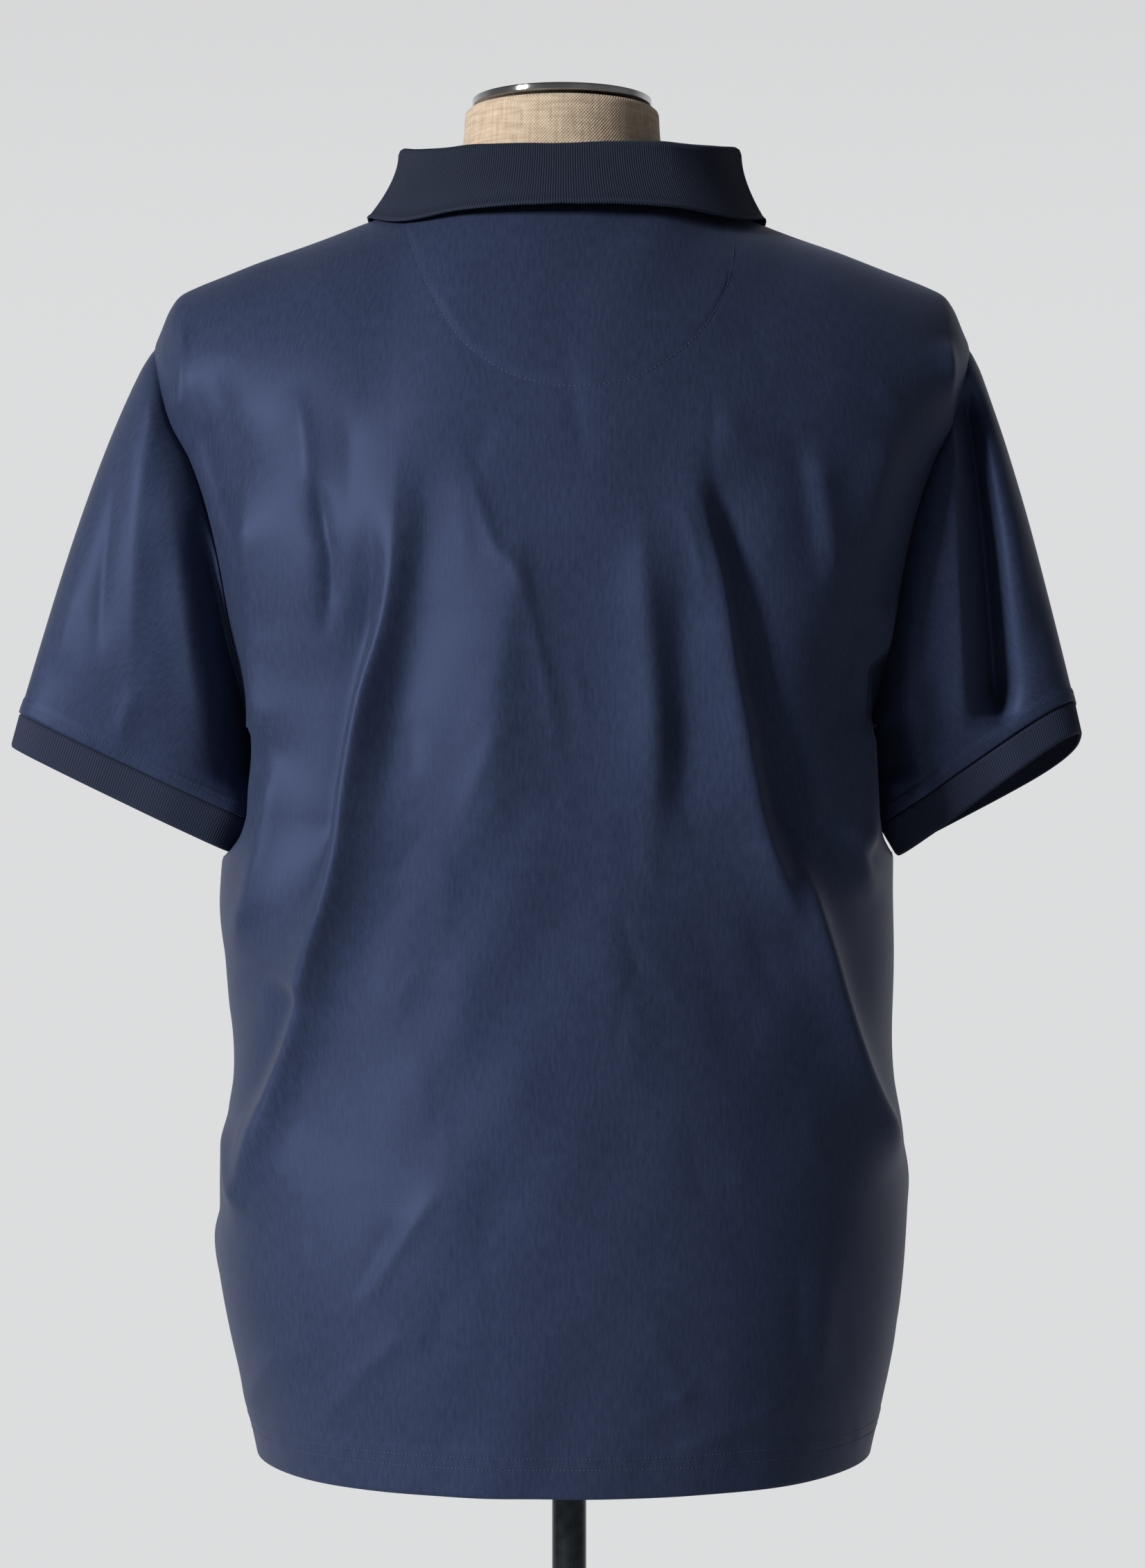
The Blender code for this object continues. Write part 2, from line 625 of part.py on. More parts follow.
def dress_form(material):
    verts = []
    rings = form_rings()
    for ring in rings:
        for k in range(FORM_SIDES):
            spin = 2.0 * math.pi * k / FORM_SIDES
            grip = 2.0 / ring["power"]
            depth = ring["back"] if math.sin(spin) >= 0.0 else ring["front"]
            x = ring["half_width"] * math.copysign(abs(math.cos(spin)) ** grip, math.cos(spin))
            y = depth * math.copysign(abs(math.sin(spin)) ** grip, math.sin(spin))
            verts.append(Vector((x, y, ring["height"])))
    faces = []
    for i in range(len(rings) - 1):
        for k in range(FORM_SIDES):
            n = (k + 1) % FORM_SIDES
            faces.append((i * FORM_SIDES + k, i * FORM_SIDES + n,
                          (i + 1) * FORM_SIDES + n, (i + 1) * FORM_SIDES + k))
    faces.append(tuple(reversed(range(FORM_SIDES))))
    faces.append(tuple((len(rings) - 1) * FORM_SIDES + k for k in range(FORM_SIDES)))
    return make_mesh("dress_form", verts, faces, material)


def button(name, centre, normal, material):
    """A dished four-hole button, its back towards the placket."""
    sides = 18
    rim = BUTTON_RADIUS
    profile = ((rim - 0.0006, 0.0), (rim, 0.0007), (rim, 0.0020), (rim - 0.0006, BUTTON_THICK),
               (rim - 0.0016, BUTTON_THICK), (rim - 0.0024, 0.0019))
    work = bmesh.new()
    rings = []
    for radius, height in profile:
        rings.append([work.verts.new((radius * math.cos(2 * math.pi * k / sides),
                                      radius * math.sin(2 * math.pi * k / sides), height))
                      for k in range(sides)])
    for low, high in zip(rings, rings[1:]):
        for k in range(sides):
            n = (k + 1) % sides
            work.faces.new((low[k], low[n], high[n], high[k]))
    work.faces.new(list(reversed(rings[0])))
    work.faces.new(rings[-1])
    bmesh.ops.recalc_face_normals(work, faces=work.faces)
    mesh = bpy.data.meshes.new(name)
    work.to_mesh(mesh)
    work.free()
    mesh.materials.append(material)
    obj = bpy.data.objects.new(name, mesh)
    bpy.context.scene.collection.objects.link(obj)
    obj.location = centre + Vector((SHIRT_X, 0.0, 0.0))
    obj.rotation_euler = normal.to_track_quat("Z", "Y").to_euler()
    hole_spread = 0.0013
    hole_radius = 0.0006
    for k in range(4):
        spin = math.radians(40.0 + 90.0 * k)
        cutter_mesh = bpy.data.meshes.new(name + "_hole_" + str(k + 1))
        work = bmesh.new()
        bmesh.ops.create_cone(work, cap_ends=True, segments=6, radius1=hole_radius,
                              radius2=hole_radius, depth=0.008)
        work.to_mesh(cutter_mesh)
        work.free()
        cutter = bpy.data.objects.new(cutter_mesh.name, cutter_mesh)
        bpy.context.scene.collection.objects.link(cutter)
        cutter.parent = obj
        cutter.location = (hole_spread * math.cos(spin), hole_spread * math.sin(spin), 0.001)
        cutter.hide_render = True
        cutter.display_type = "WIRE"
        cut = obj.modifiers.new("hole_" + str(k + 1), "BOOLEAN")
        cut.operation = "DIFFERENCE"
        cut.object = cutter
    return obj


# ---------------------------------------------------------------- materials
def finish(name, colour, roughness, metallic=0.0):
    material = bpy.data.materials.new(name)
    material.use_nodes = True
    shader = material.node_tree.nodes["Principled BSDF"]
    shader.inputs["Base Color"].default_value = (*colour, 1.0)
    shader.inputs["Roughness"].default_value = roughness
    shader.inputs["Metallic"].default_value = metallic
    material.diffuse_color = (*colour, 1.0)
    return material


def clear_scene():
    for obj in list(bpy.data.objects):
        bpy.data.objects.remove(obj, do_unlink=True)


def make_shirt():
    jersey = finish("navy jersey", (0.030, 0.042, 0.095), 0.72)
    rib = finish("navy rib knit", (0.020, 0.030, 0.055), 0.80)
    plastic = finish("navy button", (0.018, 0.024, 0.050), 0.30)

    levels, underarm = row_levels()
    back = panel_grid("back")
    front = panel_grid("front")
    for k, row in enumerate(front):
        if k <= underarm:
            row[0] = back[k][0].copy()
            row[-1] = back[k][-1].copy()
    top = len(back) - 1
    for j, point in enumerate(back[top]):
        if abs(point.x) >= NECK_HALF - 1e-4:
            front[top][j] = point.copy()

    # Grids turn so that each quad's normal points out of the shirt.
    front_out = [list(reversed(row)) for row in front]
    grids = {"back": (back, False), "front": (front_out, False)}
    for side in ("left", "right"):
        loop = armhole_loop(side, back, front, underarm)
        sleeve, ring, turns, sign = sleeve_grid(side, loop)
        cuff = cuff_grid(ring, turns, sign)
        if side == "left":
            sleeve = [list(reversed(row)) for row in sleeve]
            cuff = [list(reversed(row)) for row in cuff]
        grids["sleeve_" + side] = (sleeve, True)
        grids["cuff_" + side] = (cuff, True)
    normals = {}
    for grid, closed in grids.values():
        grid_normals(grid, closed, normals)

    slot_top = front_out[top][COLUMNS].z
    slot_row = min(range(len(front_out)), key=lambda i: abs(front_out[i][COLUMNS].z - slot_top + PLACKET_LENGTH))

    def in_slot(i, j):
        return i >= slot_row and j in (COLUMNS - 1, COLUMNS)

    wall("back", back, JERSEY, jersey, normals)
    wall("front", front_out, JERSEY, jersey, normals, cut=in_slot)
    for side in ("left", "right"):
        wall("sleeve_" + side, grids["sleeve_" + side][0], JERSEY, jersey, normals, closed=True,
             stand_off_row=0)
        wall("cuff_" + side, grids["cuff_" + side][0], RIB_KNIT, rib, normals, closed=True)

    strip = [row[COLUMNS - 1:COLUMNS + 2] for row in front_out[slot_row:]]
    wall("placket_under", strip, JERSEY, jersey, normals)
    over = [[point.copy() for point in row] for row in strip]
    for above, below in zip(over[-1], over[-2]):
        normals[place_key(above + (below - above).normalized() * PLACKET_TUCK)] = normals[place_key(above)]
        above += (below - above).normalized() * PLACKET_TUCK
    wall("placket_upper", over, JERSEY, jersey, normals, lift=JERSEY + SEAM)

    line = neckline(back, front)
    collar = collar_grid(line)
    collar_normals = {}
    grid_normals(collar, False, collar_normals)
    wall("collar", collar, RIB_KNIT, rib, collar_normals)

    middle = [row[1] for row in strip]
    for n, drop in enumerate(BUTTON_DROPS):
        height = slot_top - drop
        i = max(k for k in range(len(middle) - 1) if middle[k].z <= height)
        share = (height - middle[i].z) / (middle[i + 1].z - middle[i].z)
        place = middle[i].lerp(middle[i + 1], share)
        facing = (middle[i + 1] - middle[i]).cross(Vector((1.0, 0.0, 0.0))).normalized()
        if facing.y > 0.0:
            facing = -facing
        seat = JERSEY + 3.0 * SEAM
        button("button_" + str(n + 1), place + facing * seat, facing, plastic)


def make_form():
    linen = finish("linen", (0.58, 0.47, 0.34), 0.90)
    chrome = finish("chrome", (0.78, 0.78, 0.79), 0.12, 1.0)
    dark_metal = finish("dark metal", (0.030, 0.036, 0.042), 0.35, 0.8)
    dress_form(linen)
    turned("neck_cap", ((0.0460, NECK_TOP + SEAM), (0.0460, CAP_BOTTOM), (CAP_RADIUS - 0.0008, CAP_BOTTOM),
                        (CAP_RADIUS, CAP_BOTTOM + 0.0009), (CAP_RADIUS, CAP_TOP - 0.0012),
                        (CAP_RADIUS - 0.0012, CAP_TOP)), 40, chrome, SHIRT_X)
    turned("pole", ((POLE_RADIUS, BASE_THICK + SEAM), (POLE_RADIUS, FORM_BOTTOM - SEAM)), 28, dark_metal)
    turned("base", ((BASE_RADIUS, 0.0), (BASE_RADIUS, BASE_THICK - 0.003), (BASE_RADIUS - 0.004, BASE_THICK)),
           56, dark_metal)


clear_scene()
make_form()
make_shirt()
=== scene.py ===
import math

import bpy
import numpy as np
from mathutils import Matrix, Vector
from mathutils.bvhtree import BVHTree


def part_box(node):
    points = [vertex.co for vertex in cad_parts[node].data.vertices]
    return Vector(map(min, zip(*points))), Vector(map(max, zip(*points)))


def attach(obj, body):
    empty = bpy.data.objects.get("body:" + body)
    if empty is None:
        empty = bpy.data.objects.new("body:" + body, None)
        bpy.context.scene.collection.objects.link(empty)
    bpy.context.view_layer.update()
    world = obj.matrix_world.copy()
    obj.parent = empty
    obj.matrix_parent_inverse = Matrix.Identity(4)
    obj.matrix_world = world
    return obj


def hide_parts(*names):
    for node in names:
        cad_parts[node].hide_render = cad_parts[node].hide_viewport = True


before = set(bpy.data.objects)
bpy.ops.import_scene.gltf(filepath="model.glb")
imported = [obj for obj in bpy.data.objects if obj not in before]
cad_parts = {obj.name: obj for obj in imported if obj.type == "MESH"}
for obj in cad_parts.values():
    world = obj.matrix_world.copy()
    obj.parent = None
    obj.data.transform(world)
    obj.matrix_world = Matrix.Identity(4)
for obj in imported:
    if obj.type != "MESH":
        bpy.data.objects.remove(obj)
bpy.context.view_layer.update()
bpy.context.scene.view_settings.view_transform = "Standard"
print("frame loaded")


# small helpers for tables, curves and grids; all sizes are in metres

def tableOf(columns, rows):
    return {name: np.array([row[k] for row in rows], dtype=float) for k, name in enumerate(columns)}


def curveThrough(places, values, samples=900):
    # a smooth curve through the rows that never swings past them, kept as a dense lookup
    slopes = np.diff(values) / np.diff(places)
    before = np.concatenate(([slopes[0]], slopes))
    after = np.concatenate((slopes, [slopes[-1]]))
    turning = before * after <= 0.0
    tangents = np.where(turning, 0.0, 2.0 * before * after / np.where(turning, 1.0, before + after))
    dense = np.linspace(places[0], places[-1], samples)
    i = np.clip(np.searchsorted(places, dense, side="right") - 1, 0, len(slopes) - 1)
    span = places[i + 1] - places[i]
    s = (dense - places[i]) / span
    line = ((2 * s ** 3 - 3 * s ** 2 + 1) * values[i] + (s ** 3 - 2 * s ** 2 + s) * span * tangents[i]
            + (3 * s ** 2 - 2 * s ** 3) * values[i + 1] + (s ** 3 - s ** 2) * span * tangents[i + 1])
    return lambda at: np.interp(at, dense, line)


def curvesOf(table, key):
    return {name: curveThrough(table[key], table[name]) for name in table if name != key}


def ease(share):
    # 0 to 1 with a soft start and end
    share = np.clip(share, 0.0, 1.0)
    return share * share * (3.0 - 2.0 * share)


def signedPower(value, power):
    return np.sign(value) * np.abs(value) ** power


def gridNormals(grid, closed=False):
    # a closed grid runs all round, so its last column meets the first
    if closed:
        across = np.roll(grid, -1, axis=1) - np.roll(grid, 1, axis=1)
    else:
        across = np.gradient(grid, axis=1)
    along = np.gradient(grid, axis=0)
    normals = np.cross(across, along)
    return normals / np.maximum(np.linalg.norm(normals, axis=2, keepdims=True), 1e-12)


def lineLengths(points):
    return np.concatenate(([0.0], np.cumsum(np.linalg.norm(np.diff(points, axis=0), axis=1))))


def pointsAt(places, measure, points):
    # points read off a line at the given places of its own measure
    return np.stack([np.interp(places, measure, points[:, k]) for k in range(3)], axis=1)


def bell(distance, width):
    # 1 on the line, fading to 0 beside it
    return np.exp(-(distance / width) ** 2)


def arcLengths(grid, axis):
    steps = np.linalg.norm(np.diff(grid, axis=axis), axis=2)
    start = np.zeros_like(steps[:1] if axis == 0 else steps[:, :1])
    return np.concatenate((start, np.cumsum(steps, axis=axis)), axis=axis)


# the body of the shirt; its left is the wearer's, towards +X, and its back faces +Y

sideSign = {"left": 1.0, "right": -1.0}
faceSign = {"back": 1.0, "front": -1.0}
body = {
    "shiftX": 0.0045,
    "hem": 0.7485,
    "underarm": 1.201,
    "archFrom": 1.266,
    "scoop": 0.075,
    "neckHalf": 0.100,
    "neckReach": {"back": 0.078, "front": 0.104},
    "placketHalf": 0.016,
    "slitLength": 0.160,
    "thickness": 0.0012,
    "seamDip": 0.0008,
    "seamWidth": 0.0022,
    "seamBlend": 0.018,
    "settleRounds": 40,
    "calmSpan": 0.042,
    "calmPlaces": 31,
    "calmTop": 0.150,
    "calmFade": (0.060, 0.040),
    "notchShare": 12,
    "pressFrom": 1.105,
    "pressSoft": 0.004,
    "pressBehind": 0.036,
    "pressFade": 0.028,
    "neckCrowd": 0.55,
    "scoopCrowd": 4.0,
    "archCrowd": 1.2,
    "columns": (6, 40, 84),
    "levelRows": 174,
    "scoopRows": 26,
    "archRows": 115,
    "hemFold": (10, 8, 6, 4, 2, 1),
}
sectionTable = tableOf(("height", "left", "right", "back", "front", "power"), (
    (0.7485, 0.1920, 0.1940, 0.168, 0.158, 2.20),
    (0.7655, 0.1955, 0.1975, 0.170, 0.160, 2.20),
    (0.7970, 0.2020, 0.2060, 0.173, 0.161, 2.20),
    (0.8290, 0.2100, 0.2115, 0.175, 0.161, 2.20),
    (0.8800, 0.2205, 0.2155, 0.175, 0.159, 2.20),
    (0.9157, 0.2115, 0.2200, 0.172, 0.157, 2.20),
    (0.9600, 0.2085, 0.2120, 0.168, 0.154, 2.20),
    (0.9850, 0.2040, 0.2080, 0.166, 0.152, 2.20),
    (1.0500, 0.2105, 0.2090, 0.163, 0.150, 2.25),
    (1.0900, 0.2150, 0.2085, 0.162, 0.149, 2.30),
    (1.1200, 0.2140, 0.2085, 0.161, 0.149, 2.40),
    (1.1450, 0.2110, 0.2080, 0.160, 0.148, 2.50),
    (1.1700, 0.2055, 0.2045, 0.159, 0.147, 2.60),
    (1.1900, 0.1985, 0.1985, 0.158, 0.146, 2.60),
    (1.2010, 0.1925, 0.1925, 0.158, 0.145, 2.60),
    (1.2660, 0.2070, 0.2070, 0.154, 0.137, 2.60)))
armholeTable = tableOf(("height", "reach", "turnBack", "turnFront"), (
    (1.201, 0.1925, 90, 90),
    (1.236, 0.2010, 81, 79),
    (1.266, 0.2070, 78, 75),
    (1.296, 0.2115, 76, 73),
    (1.330, 0.2190, 74, 71),
    (1.366, 0.2310, 72, 70),
    (1.389, 0.2430, 71, 69),
    (1.416, 0.2510, 70, 69),
    (1.441, 0.2575, 70, 69)))
shoulderTable = tableOf(("reach", "height"), (
    (0.0000, 1.5645), (0.0150, 1.5640), (0.0500, 1.5560), (0.1000, 1.5285), (0.1290, 1.5180),
    (0.1775, 1.5002), (0.2090, 1.4885), (0.2310, 1.4800), (0.2407, 1.4750), (0.2468, 1.4670),
    (0.2530, 1.4525), (0.2605, 1.4360)))
pressTable = tableOf(("height", "reach"), (
    (1.105, 0.2250), (1.117, 0.2150), (1.126, 0.2000), (1.136, 0.1920), (1.150, 0.1885),
    (1.195, 0.1885), (1.201, 0.1925)))
section = curvesOf(sectionTable, "height")
armhole = curvesOf(armholeTable, "height")
shoulderLine = curvesOf(shoulderTable, "reach")["height"]
pressReach = curvesOf(pressTable, "height")["reach"]


def scoopedTurn(height, face):
    # where the armhole cuts each level, rounded out at the bottom
    lowest = body["underarm"] + 0.5 * body["scoop"]
    full = armhole["turn" + face.capitalize()](np.maximum(height, lowest))
    part = np.clip((height - body["underarm"]) / body["scoop"], 0.0, 1.0)
    return np.radians(90.0 - (90.0 - full) * np.sqrt(1.0 - (1.0 - part) ** 2))


def rowEnds(side, heights, rises):
    # how far out and how high each row ends: its arch and the armhole's reach are brought together in steps
    reach = np.full_like(heights, armholeTable["reach"][-1])
    ends = heights.copy()
    for step in range(body["settleRounds"]):
        ends = body["archFrom"] + (shoulderLine(reach) - body["archFrom"]) * np.sin(rises)
        reach = 0.5 * (reach + armhole["reach"](ends))
    level = rises == 0.0
    reach = np.where(level, armhole["reach"](heights), reach)
    ends = np.where(level, heights, ends)
    reach = np.where(heights <= body["underarm"], section[side](heights), reach)
    return reach, ends


def halfPanel(face, side):
    # one half of a panel, columns from the centre line to the seam, rows from the hem to the shoulder
    level = np.linspace(body["hem"], body["underarm"], body["levelRows"] + 1)
    scoopShare = (np.arange(1, body["scoopRows"] + 1) / body["scoopRows"]) ** 2
    scoop = body["underarm"] + (body["archFrom"] - body["underarm"]) * scoopShare
    archShare = 1.0 - (1.0 - np.arange(1, body["archRows"] + 1) / body["archRows"]) ** body["archCrowd"]
    heights = np.concatenate((level, scoop, np.full(body["archRows"], body["archFrom"])))
    arches = np.concatenate((np.zeros(len(level) + len(scoop)), archShare))
    quarter = 0.5 * math.pi
    reach, ends = rowEnds(side, heights, quarter * arches)
    turnEnd = scoopedTurn(ends, face)
    spread = np.linspace(-body["calmSpan"], body["calmSpan"], body["calmPlaces"])
    power = np.array([section["power"](height + spread).mean() for height in heights])[:, None]
    depth = np.array([section[face](height + spread).mean() for height in heights])[:, None]
    atSeam = reach / np.sin(turnEnd) ** (2.0 / power[:, 0])
    # the notch under the arm narrows only the side of the shirt, so the rest follows a calmer outline
    calm = np.array([np.interp(spread + end, ends, atSeam).mean() for end in ends])
    fadeUp, fadeDown = body["calmFade"]
    calmShare = ease((body["calmTop"] + body["underarm"] - ends) / fadeUp)
    calmShare = calmShare * ease((ends - body["hem"]) / fadeDown)
    half = (atSeam + (calm - atSeam) * calmShare)[:, None]
    inner, middle, outer = body["columns"]
    steps = np.linspace(0.0, 1.0, middle + 1)[1:]
    steps = (1.0 - body["neckCrowd"]) * steps + body["neckCrowd"] * np.sin(quarter * steps)
    neckX = body["placketHalf"] + (body["neckHalf"] - body["placketHalf"]) * steps
    startTurn = np.arcsin((body["placketHalf"] / half) ** (0.5 * power))
    turns = np.concatenate((
        startTurn * np.linspace(0.0, 1.0, inner + 1)[None, :],
        np.arcsin((neckX[None, :] / half) ** (0.5 * power))), axis=1)
    cornerTurn = turns[:, -1:]
    share = np.linspace(0.0, 1.0, outer + 1)[None, 1:]
    scoopPart = np.clip((ends - body["underarm"]) / body["scoop"], 0.0, 1.0)
    crowd = (1.0 + body["scoopCrowd"] * (1.0 - scoopPart) ** 2)[:, None]
    rest = cornerTurn + (quarter - cornerTurn) * share
    rest = rest - (quarter - turnEnd[:, None]) * share ** crowd
    turns = np.concatenate((turns, rest), axis=1)
    x = half * np.sin(turns) ** (2.0 / power)
    x[:, -outer:] += (atSeam[:, None] / half - 1.0) * x[:, -1:] * share ** body["notchShare"]
    out = depth * np.maximum(0.0, np.cos(turns)) ** (2.0 / power)
    z = np.repeat(heights[:, None], x.shape[1], axis=1)
    neckShare = np.clip(x / body["neckHalf"], 0.0, 1.0)
    fullRise = np.arccos(np.clip(body["neckReach"][face] * np.sqrt(1.0 - neckShare ** 2)
                                 / np.maximum(out, 1e-6), 0.0, 1.0))
    fullRise = np.where(neckShare >= 1.0 - 1e-6, quarter, fullRise)
    rise = arches[:, None] * fullRise
    arched = arches[:, None] > 0.0
    z = np.where(arched, body["archFrom"] + (shoulderLine(x) - body["archFrom"]) * np.sin(rise), z)
    out = np.where(arched, out * np.cos(rise), out)
    way = faceSign[face]
    # the sleeve presses the side in a little below the arm
    part = ease((way * out + body["pressBehind"]) / body["pressFade"])
    over = np.maximum(0.0, x - pressReach(z))
    pressed = (over - body["pressSoft"] * (1.0 - np.exp(-over / body["pressSoft"]))) * part
    x = x - np.where((z > body["pressFrom"]) & (z <= body["underarm"]), pressed, 0.0)
    return np.stack((sideSign[side] * x, way * out, z), axis=2)


def wholePanel(face):
    left = halfPanel(face, "left")
    right = halfPanel(face, "right")
    grid = np.concatenate((left[:, :0:-1], right), axis=1)
    return grid if face == "back" else grid[:, ::-1]


# a crease is a path of (x, z) places down the cloth, the width of its slope on the +X and -X side, its
# height (below zero for a hollow), the share of each end that fades out, and the size of its rounding,
# all in millimetres but the share

def inMetres(*rows):
    return tuple((tuple((0.001 * x, 0.001 * z) for x, z in path), 0.001 * plusWidth, 0.001 * minusWidth,
                  0.001 * height, fade, 0.001 * rounding)
                 for path, plusWidth, minusWidth, height, fade, rounding in rows)


backCreases = inMetres(
    (((98, 1385), (101, 1290), (113, 1231), (123, 1172), (131, 1109), (142, 1069), (154, 1019), (165, 988),
      (178, 947), (194, 913), (207, 885)), 21, 13, 14.5, 0.24, 3),
    (((79, 1368), (81, 1313), (92, 1243), (102, 1179), (111, 1120)), 10, 26, -4.6, 0.35, 8),
    (((141, 1030), (154, 980), (169, 930)), 12, 16, -2.6, 0.35, 10),
    (((175, 1190), (177, 1158), (184, 1108), (189, 1088), (205, 1055)), 14, 8, 6, 0.25, 4),
    (((154, 1050), (161, 1031), (177, 994), (196, 958)), 12, 12, -6, 0.3, 6),
    (((207, 962), (199, 928), (190, 900)), 10, 8, 3.5, 0.3, 3),
    (((22, 1330), (26, 1289), (33, 1243), (40, 1179), (45, 1110)), 26, 18, 4.6, 0.35, 9),
    (((60, 1372), (50, 1338), (38, 1305), (24, 1288), (5, 1207), (-12, 1105)), 7, 4, 1.3, 0.3, 1.5),
    (((-45, 1352), (-49, 1289), (-53, 1236), (-55, 1171), (-52, 1100)), 20, 12, 5, 0.35, 4),
    (((-71, 1318), (-72, 1248), (-73, 1179), (-70, 1105)), 9, 14, -3.6, 0.35, 8),
    (((-74, 1360), (-94, 1289), (-104, 1219), (-122, 1125), (-144, 1070)), 18, 10, 9, 0.28, 3.5),
    (((-88, 1375), (-99, 1313), (-113, 1243), (-132, 1149), (-153, 1085)), 9, 18, -8.5, 0.28, 6),
    (((-134, 1150), (-146, 1099), (-158, 1059), (-177, 997), (-195, 958), (-213, 926)), 16, 8, 9, 0.22, 3),
    (((-150, 1375), (-157, 1328), (-165, 1275)), 12, 10, 4, 0.35, 5),
    (((-138, 1385), (-147, 1336), (-156, 1275)), 10, 10, -3, 0.35, 6),
    (((-172, 1150), (-180, 1121), (-192, 1092)), 9, 9, 3.8, 0.35, 4),
    (((66, 936), (98, 890), (128, 846)), 9, 7, 1.6, 0.3, 3),
    (((96, 914), (110, 885), (128, 850)), 6, 6, -1.2, 0.35, 3),
    (((87, 850), (119, 815), (153, 773)), 9, 7, 1.5, 0.3, 3),
    (((-145, 801), (-102, 787), (-60, 772)), 6, 7, 1.5, 0.3, 3),
    (((-84, 819), (-61, 802), (-35, 792)), 6, 7, 1.2, 0.35, 3),
    (((160, 838), (182, 804), (201, 765)), 10, 9, 2.2, 0.3, 4),
    (((-152, 893), (-157, 848), (-155, 800)), 12, 10, 1.6, 0.35, 6),
    (((217, 1432), (205, 1380), (196, 1345)), 10, 12, -3.4, 0.3, 8),
    (((193, 1360), (184, 1303), (182, 1264), (180, 1222), (176, 1165)), 8, 13, 10.5, 0.22, 3),
    (((111, 1335), (117, 1265), (128, 1220), (137, 1175), (143, 1130), (152, 1082)), 30, 6, -17, 0.26, 4),
    (((160, 1408), (153, 1370), (150, 1325)), 10, 7, 2.2, 0.35, 3),
    (((147, 1353), (143.5, 1320), (140.5, 1295), (146, 1245)), 6, 9, -4.2, 0.3, 2),
    (((129, 1398), (126, 1352), (127, 1300)), 9, 9, -1.2, 0.35, 4),
    (((-203, 1390), (-191, 1346), (-182, 1300)), 14, 12, 2.8, 0.35, 8),
    (((-180, 1278), (-170, 1221), (-163, 1165)), 12, 12, -2.6, 0.35, 8),
    (((61, 1090), (57, 1036), (64, 985)), 16, 14, 1.2, 0.4, 10),
    (((-27, 1090), (-37, 1024), (-50, 955)), 16, 14, 1.5, 0.4, 10),
    (((-80, 1105), (-92, 1048), (-110, 985)), 14, 16, -1.6, 0.4, 10),
    (((19, 1040), (26, 976), (27, 910)), 18, 16, 1.2, 0.4, 12),
    (((-197.4, 1285), (-195.2, 1257), (-184.5, 1233)), 12, 6, 4, 0.35, 3),
    (((-199.5, 1252.7), (-186.6, 1192.5)), 8, 8, -6, 0.3, 4),
    (((-179, 1265.5), (-184.5, 1218), (-185.8, 1145), (-179, 1121.5)), 15, 6, 5, 0.25, 3)
)
frontCreases = inMetres(
    (((106, 1360), (117, 1270), (131, 1160), (150, 1060), (176, 965)), 16, 20, 7.2, 0.25, 5),
    (((86, 1350), (95, 1260), (110, 1160), (124, 1090)), 18, 12, -4.2, 0.35, 10),
    (((-112, 1355), (-121, 1270), (-137, 1160), (-158, 1050), (-180, 975)), 20, 17, 6.8, 0.25, 5),
    (((-90, 1330), (-101, 1250), (-117, 1150), (-132, 1070)), 12, 18, -4, 0.35, 10),
    (((36, 1050), (46, 950), (60, 835)), 20, 22, 2.6, 0.4, 12),
    (((-48, 1020), (-60, 920), (-78, 820)), 22, 20, 2.6, 0.4, 12),
    (((190, 1345), (184, 1285), (182, 1225), (178, 1165)), 16, 10, 4.4, 0.25, 4),
    (((-192, 1350), (-185, 1280), (-183, 1220), (-178, 1160)), 10, 16, 4.4, 0.25, 4),
    (((50, 1270), (44, 1190), (50, 1120)), 6, 8, 1.4, 0.35, 2),
    (((-48, 1255), (-40, 1170), (-48, 1095)), 7, 8, 1.3, 0.35, 2),
    (((150, 900), (125, 850), (98, 800)), 8, 10, 1.6, 0.35, 3),
    (((-155, 910), (-132, 860), (-100, 808)), 10, 10, 1.8, 0.35, 3),
    (((165, 1060), (186, 1010), (203, 960)), 10, 10, -3.4, 0.35, 5),
    (((-165, 1060), (-184, 1005), (-202, 955)), 10, 10, -3.6, 0.35, 5),
    (((150, 1440), (138, 1400), (132, 1350)), 12, 12, 2, 0.35, 6),
    (((-155, 1435), (-146, 1390), (-142, 1335)), 12, 12, 2.2, 0.35, 6)
)

# folds that run across the armhole seam, or along it, push panel and sleeve alike straight back or forward
armFolds = {
    "back": {
        "left": inMetres(
            (((237.8, 1459), (234.4, 1442), (234.8, 1420.5), (235.6, 1399), (234.8, 1384)),
             10, 5, 4, 0.3, 2),
            (((226.6, 1420.5), (223.2, 1394.6), (217.6, 1368.9), (209, 1343), (199.1, 1318),
              (191.3, 1296.6), (190.5, 1270), (189.5, 1240), (188, 1205)), 10, 12, -10, 0.22, 4)
        ),
        "right": inMetres(
            (((-238.5, 1446), (-242, 1424.6), (-242, 1390), (-243, 1366.6), (-244, 1300), (-248, 1229),
              (-251, 1195)), 14, 4.5, 8, 0.15, 1.6),
            (((-251, 1424.6), (-255, 1390), (-259, 1350), (-264, 1300), (-270, 1235), (-274, 1195)),
             16, 8, -30, 0.18, 3)
        ),
    },
    "front": {
        "left": inMetres(
            (((234, 1440), (232, 1410), (226, 1372)), 6, 10, 3, 0.3, 3),
            (((222, 1415), (214, 1365), (203, 1318), (197, 1270), (193, 1220)), 12, 10, -7, 0.25, 5)
        ),
        "right": inMetres(
            (((-235, 1440), (-231, 1405), (-226, 1370)), 10, 6, 3, 0.3, 3),
            (((-223, 1412), (-214, 1360), (-204, 1312), (-197, 1265), (-194, 1215)), 10, 12, -7.5, 0.25, 5)
        ),
    },
}


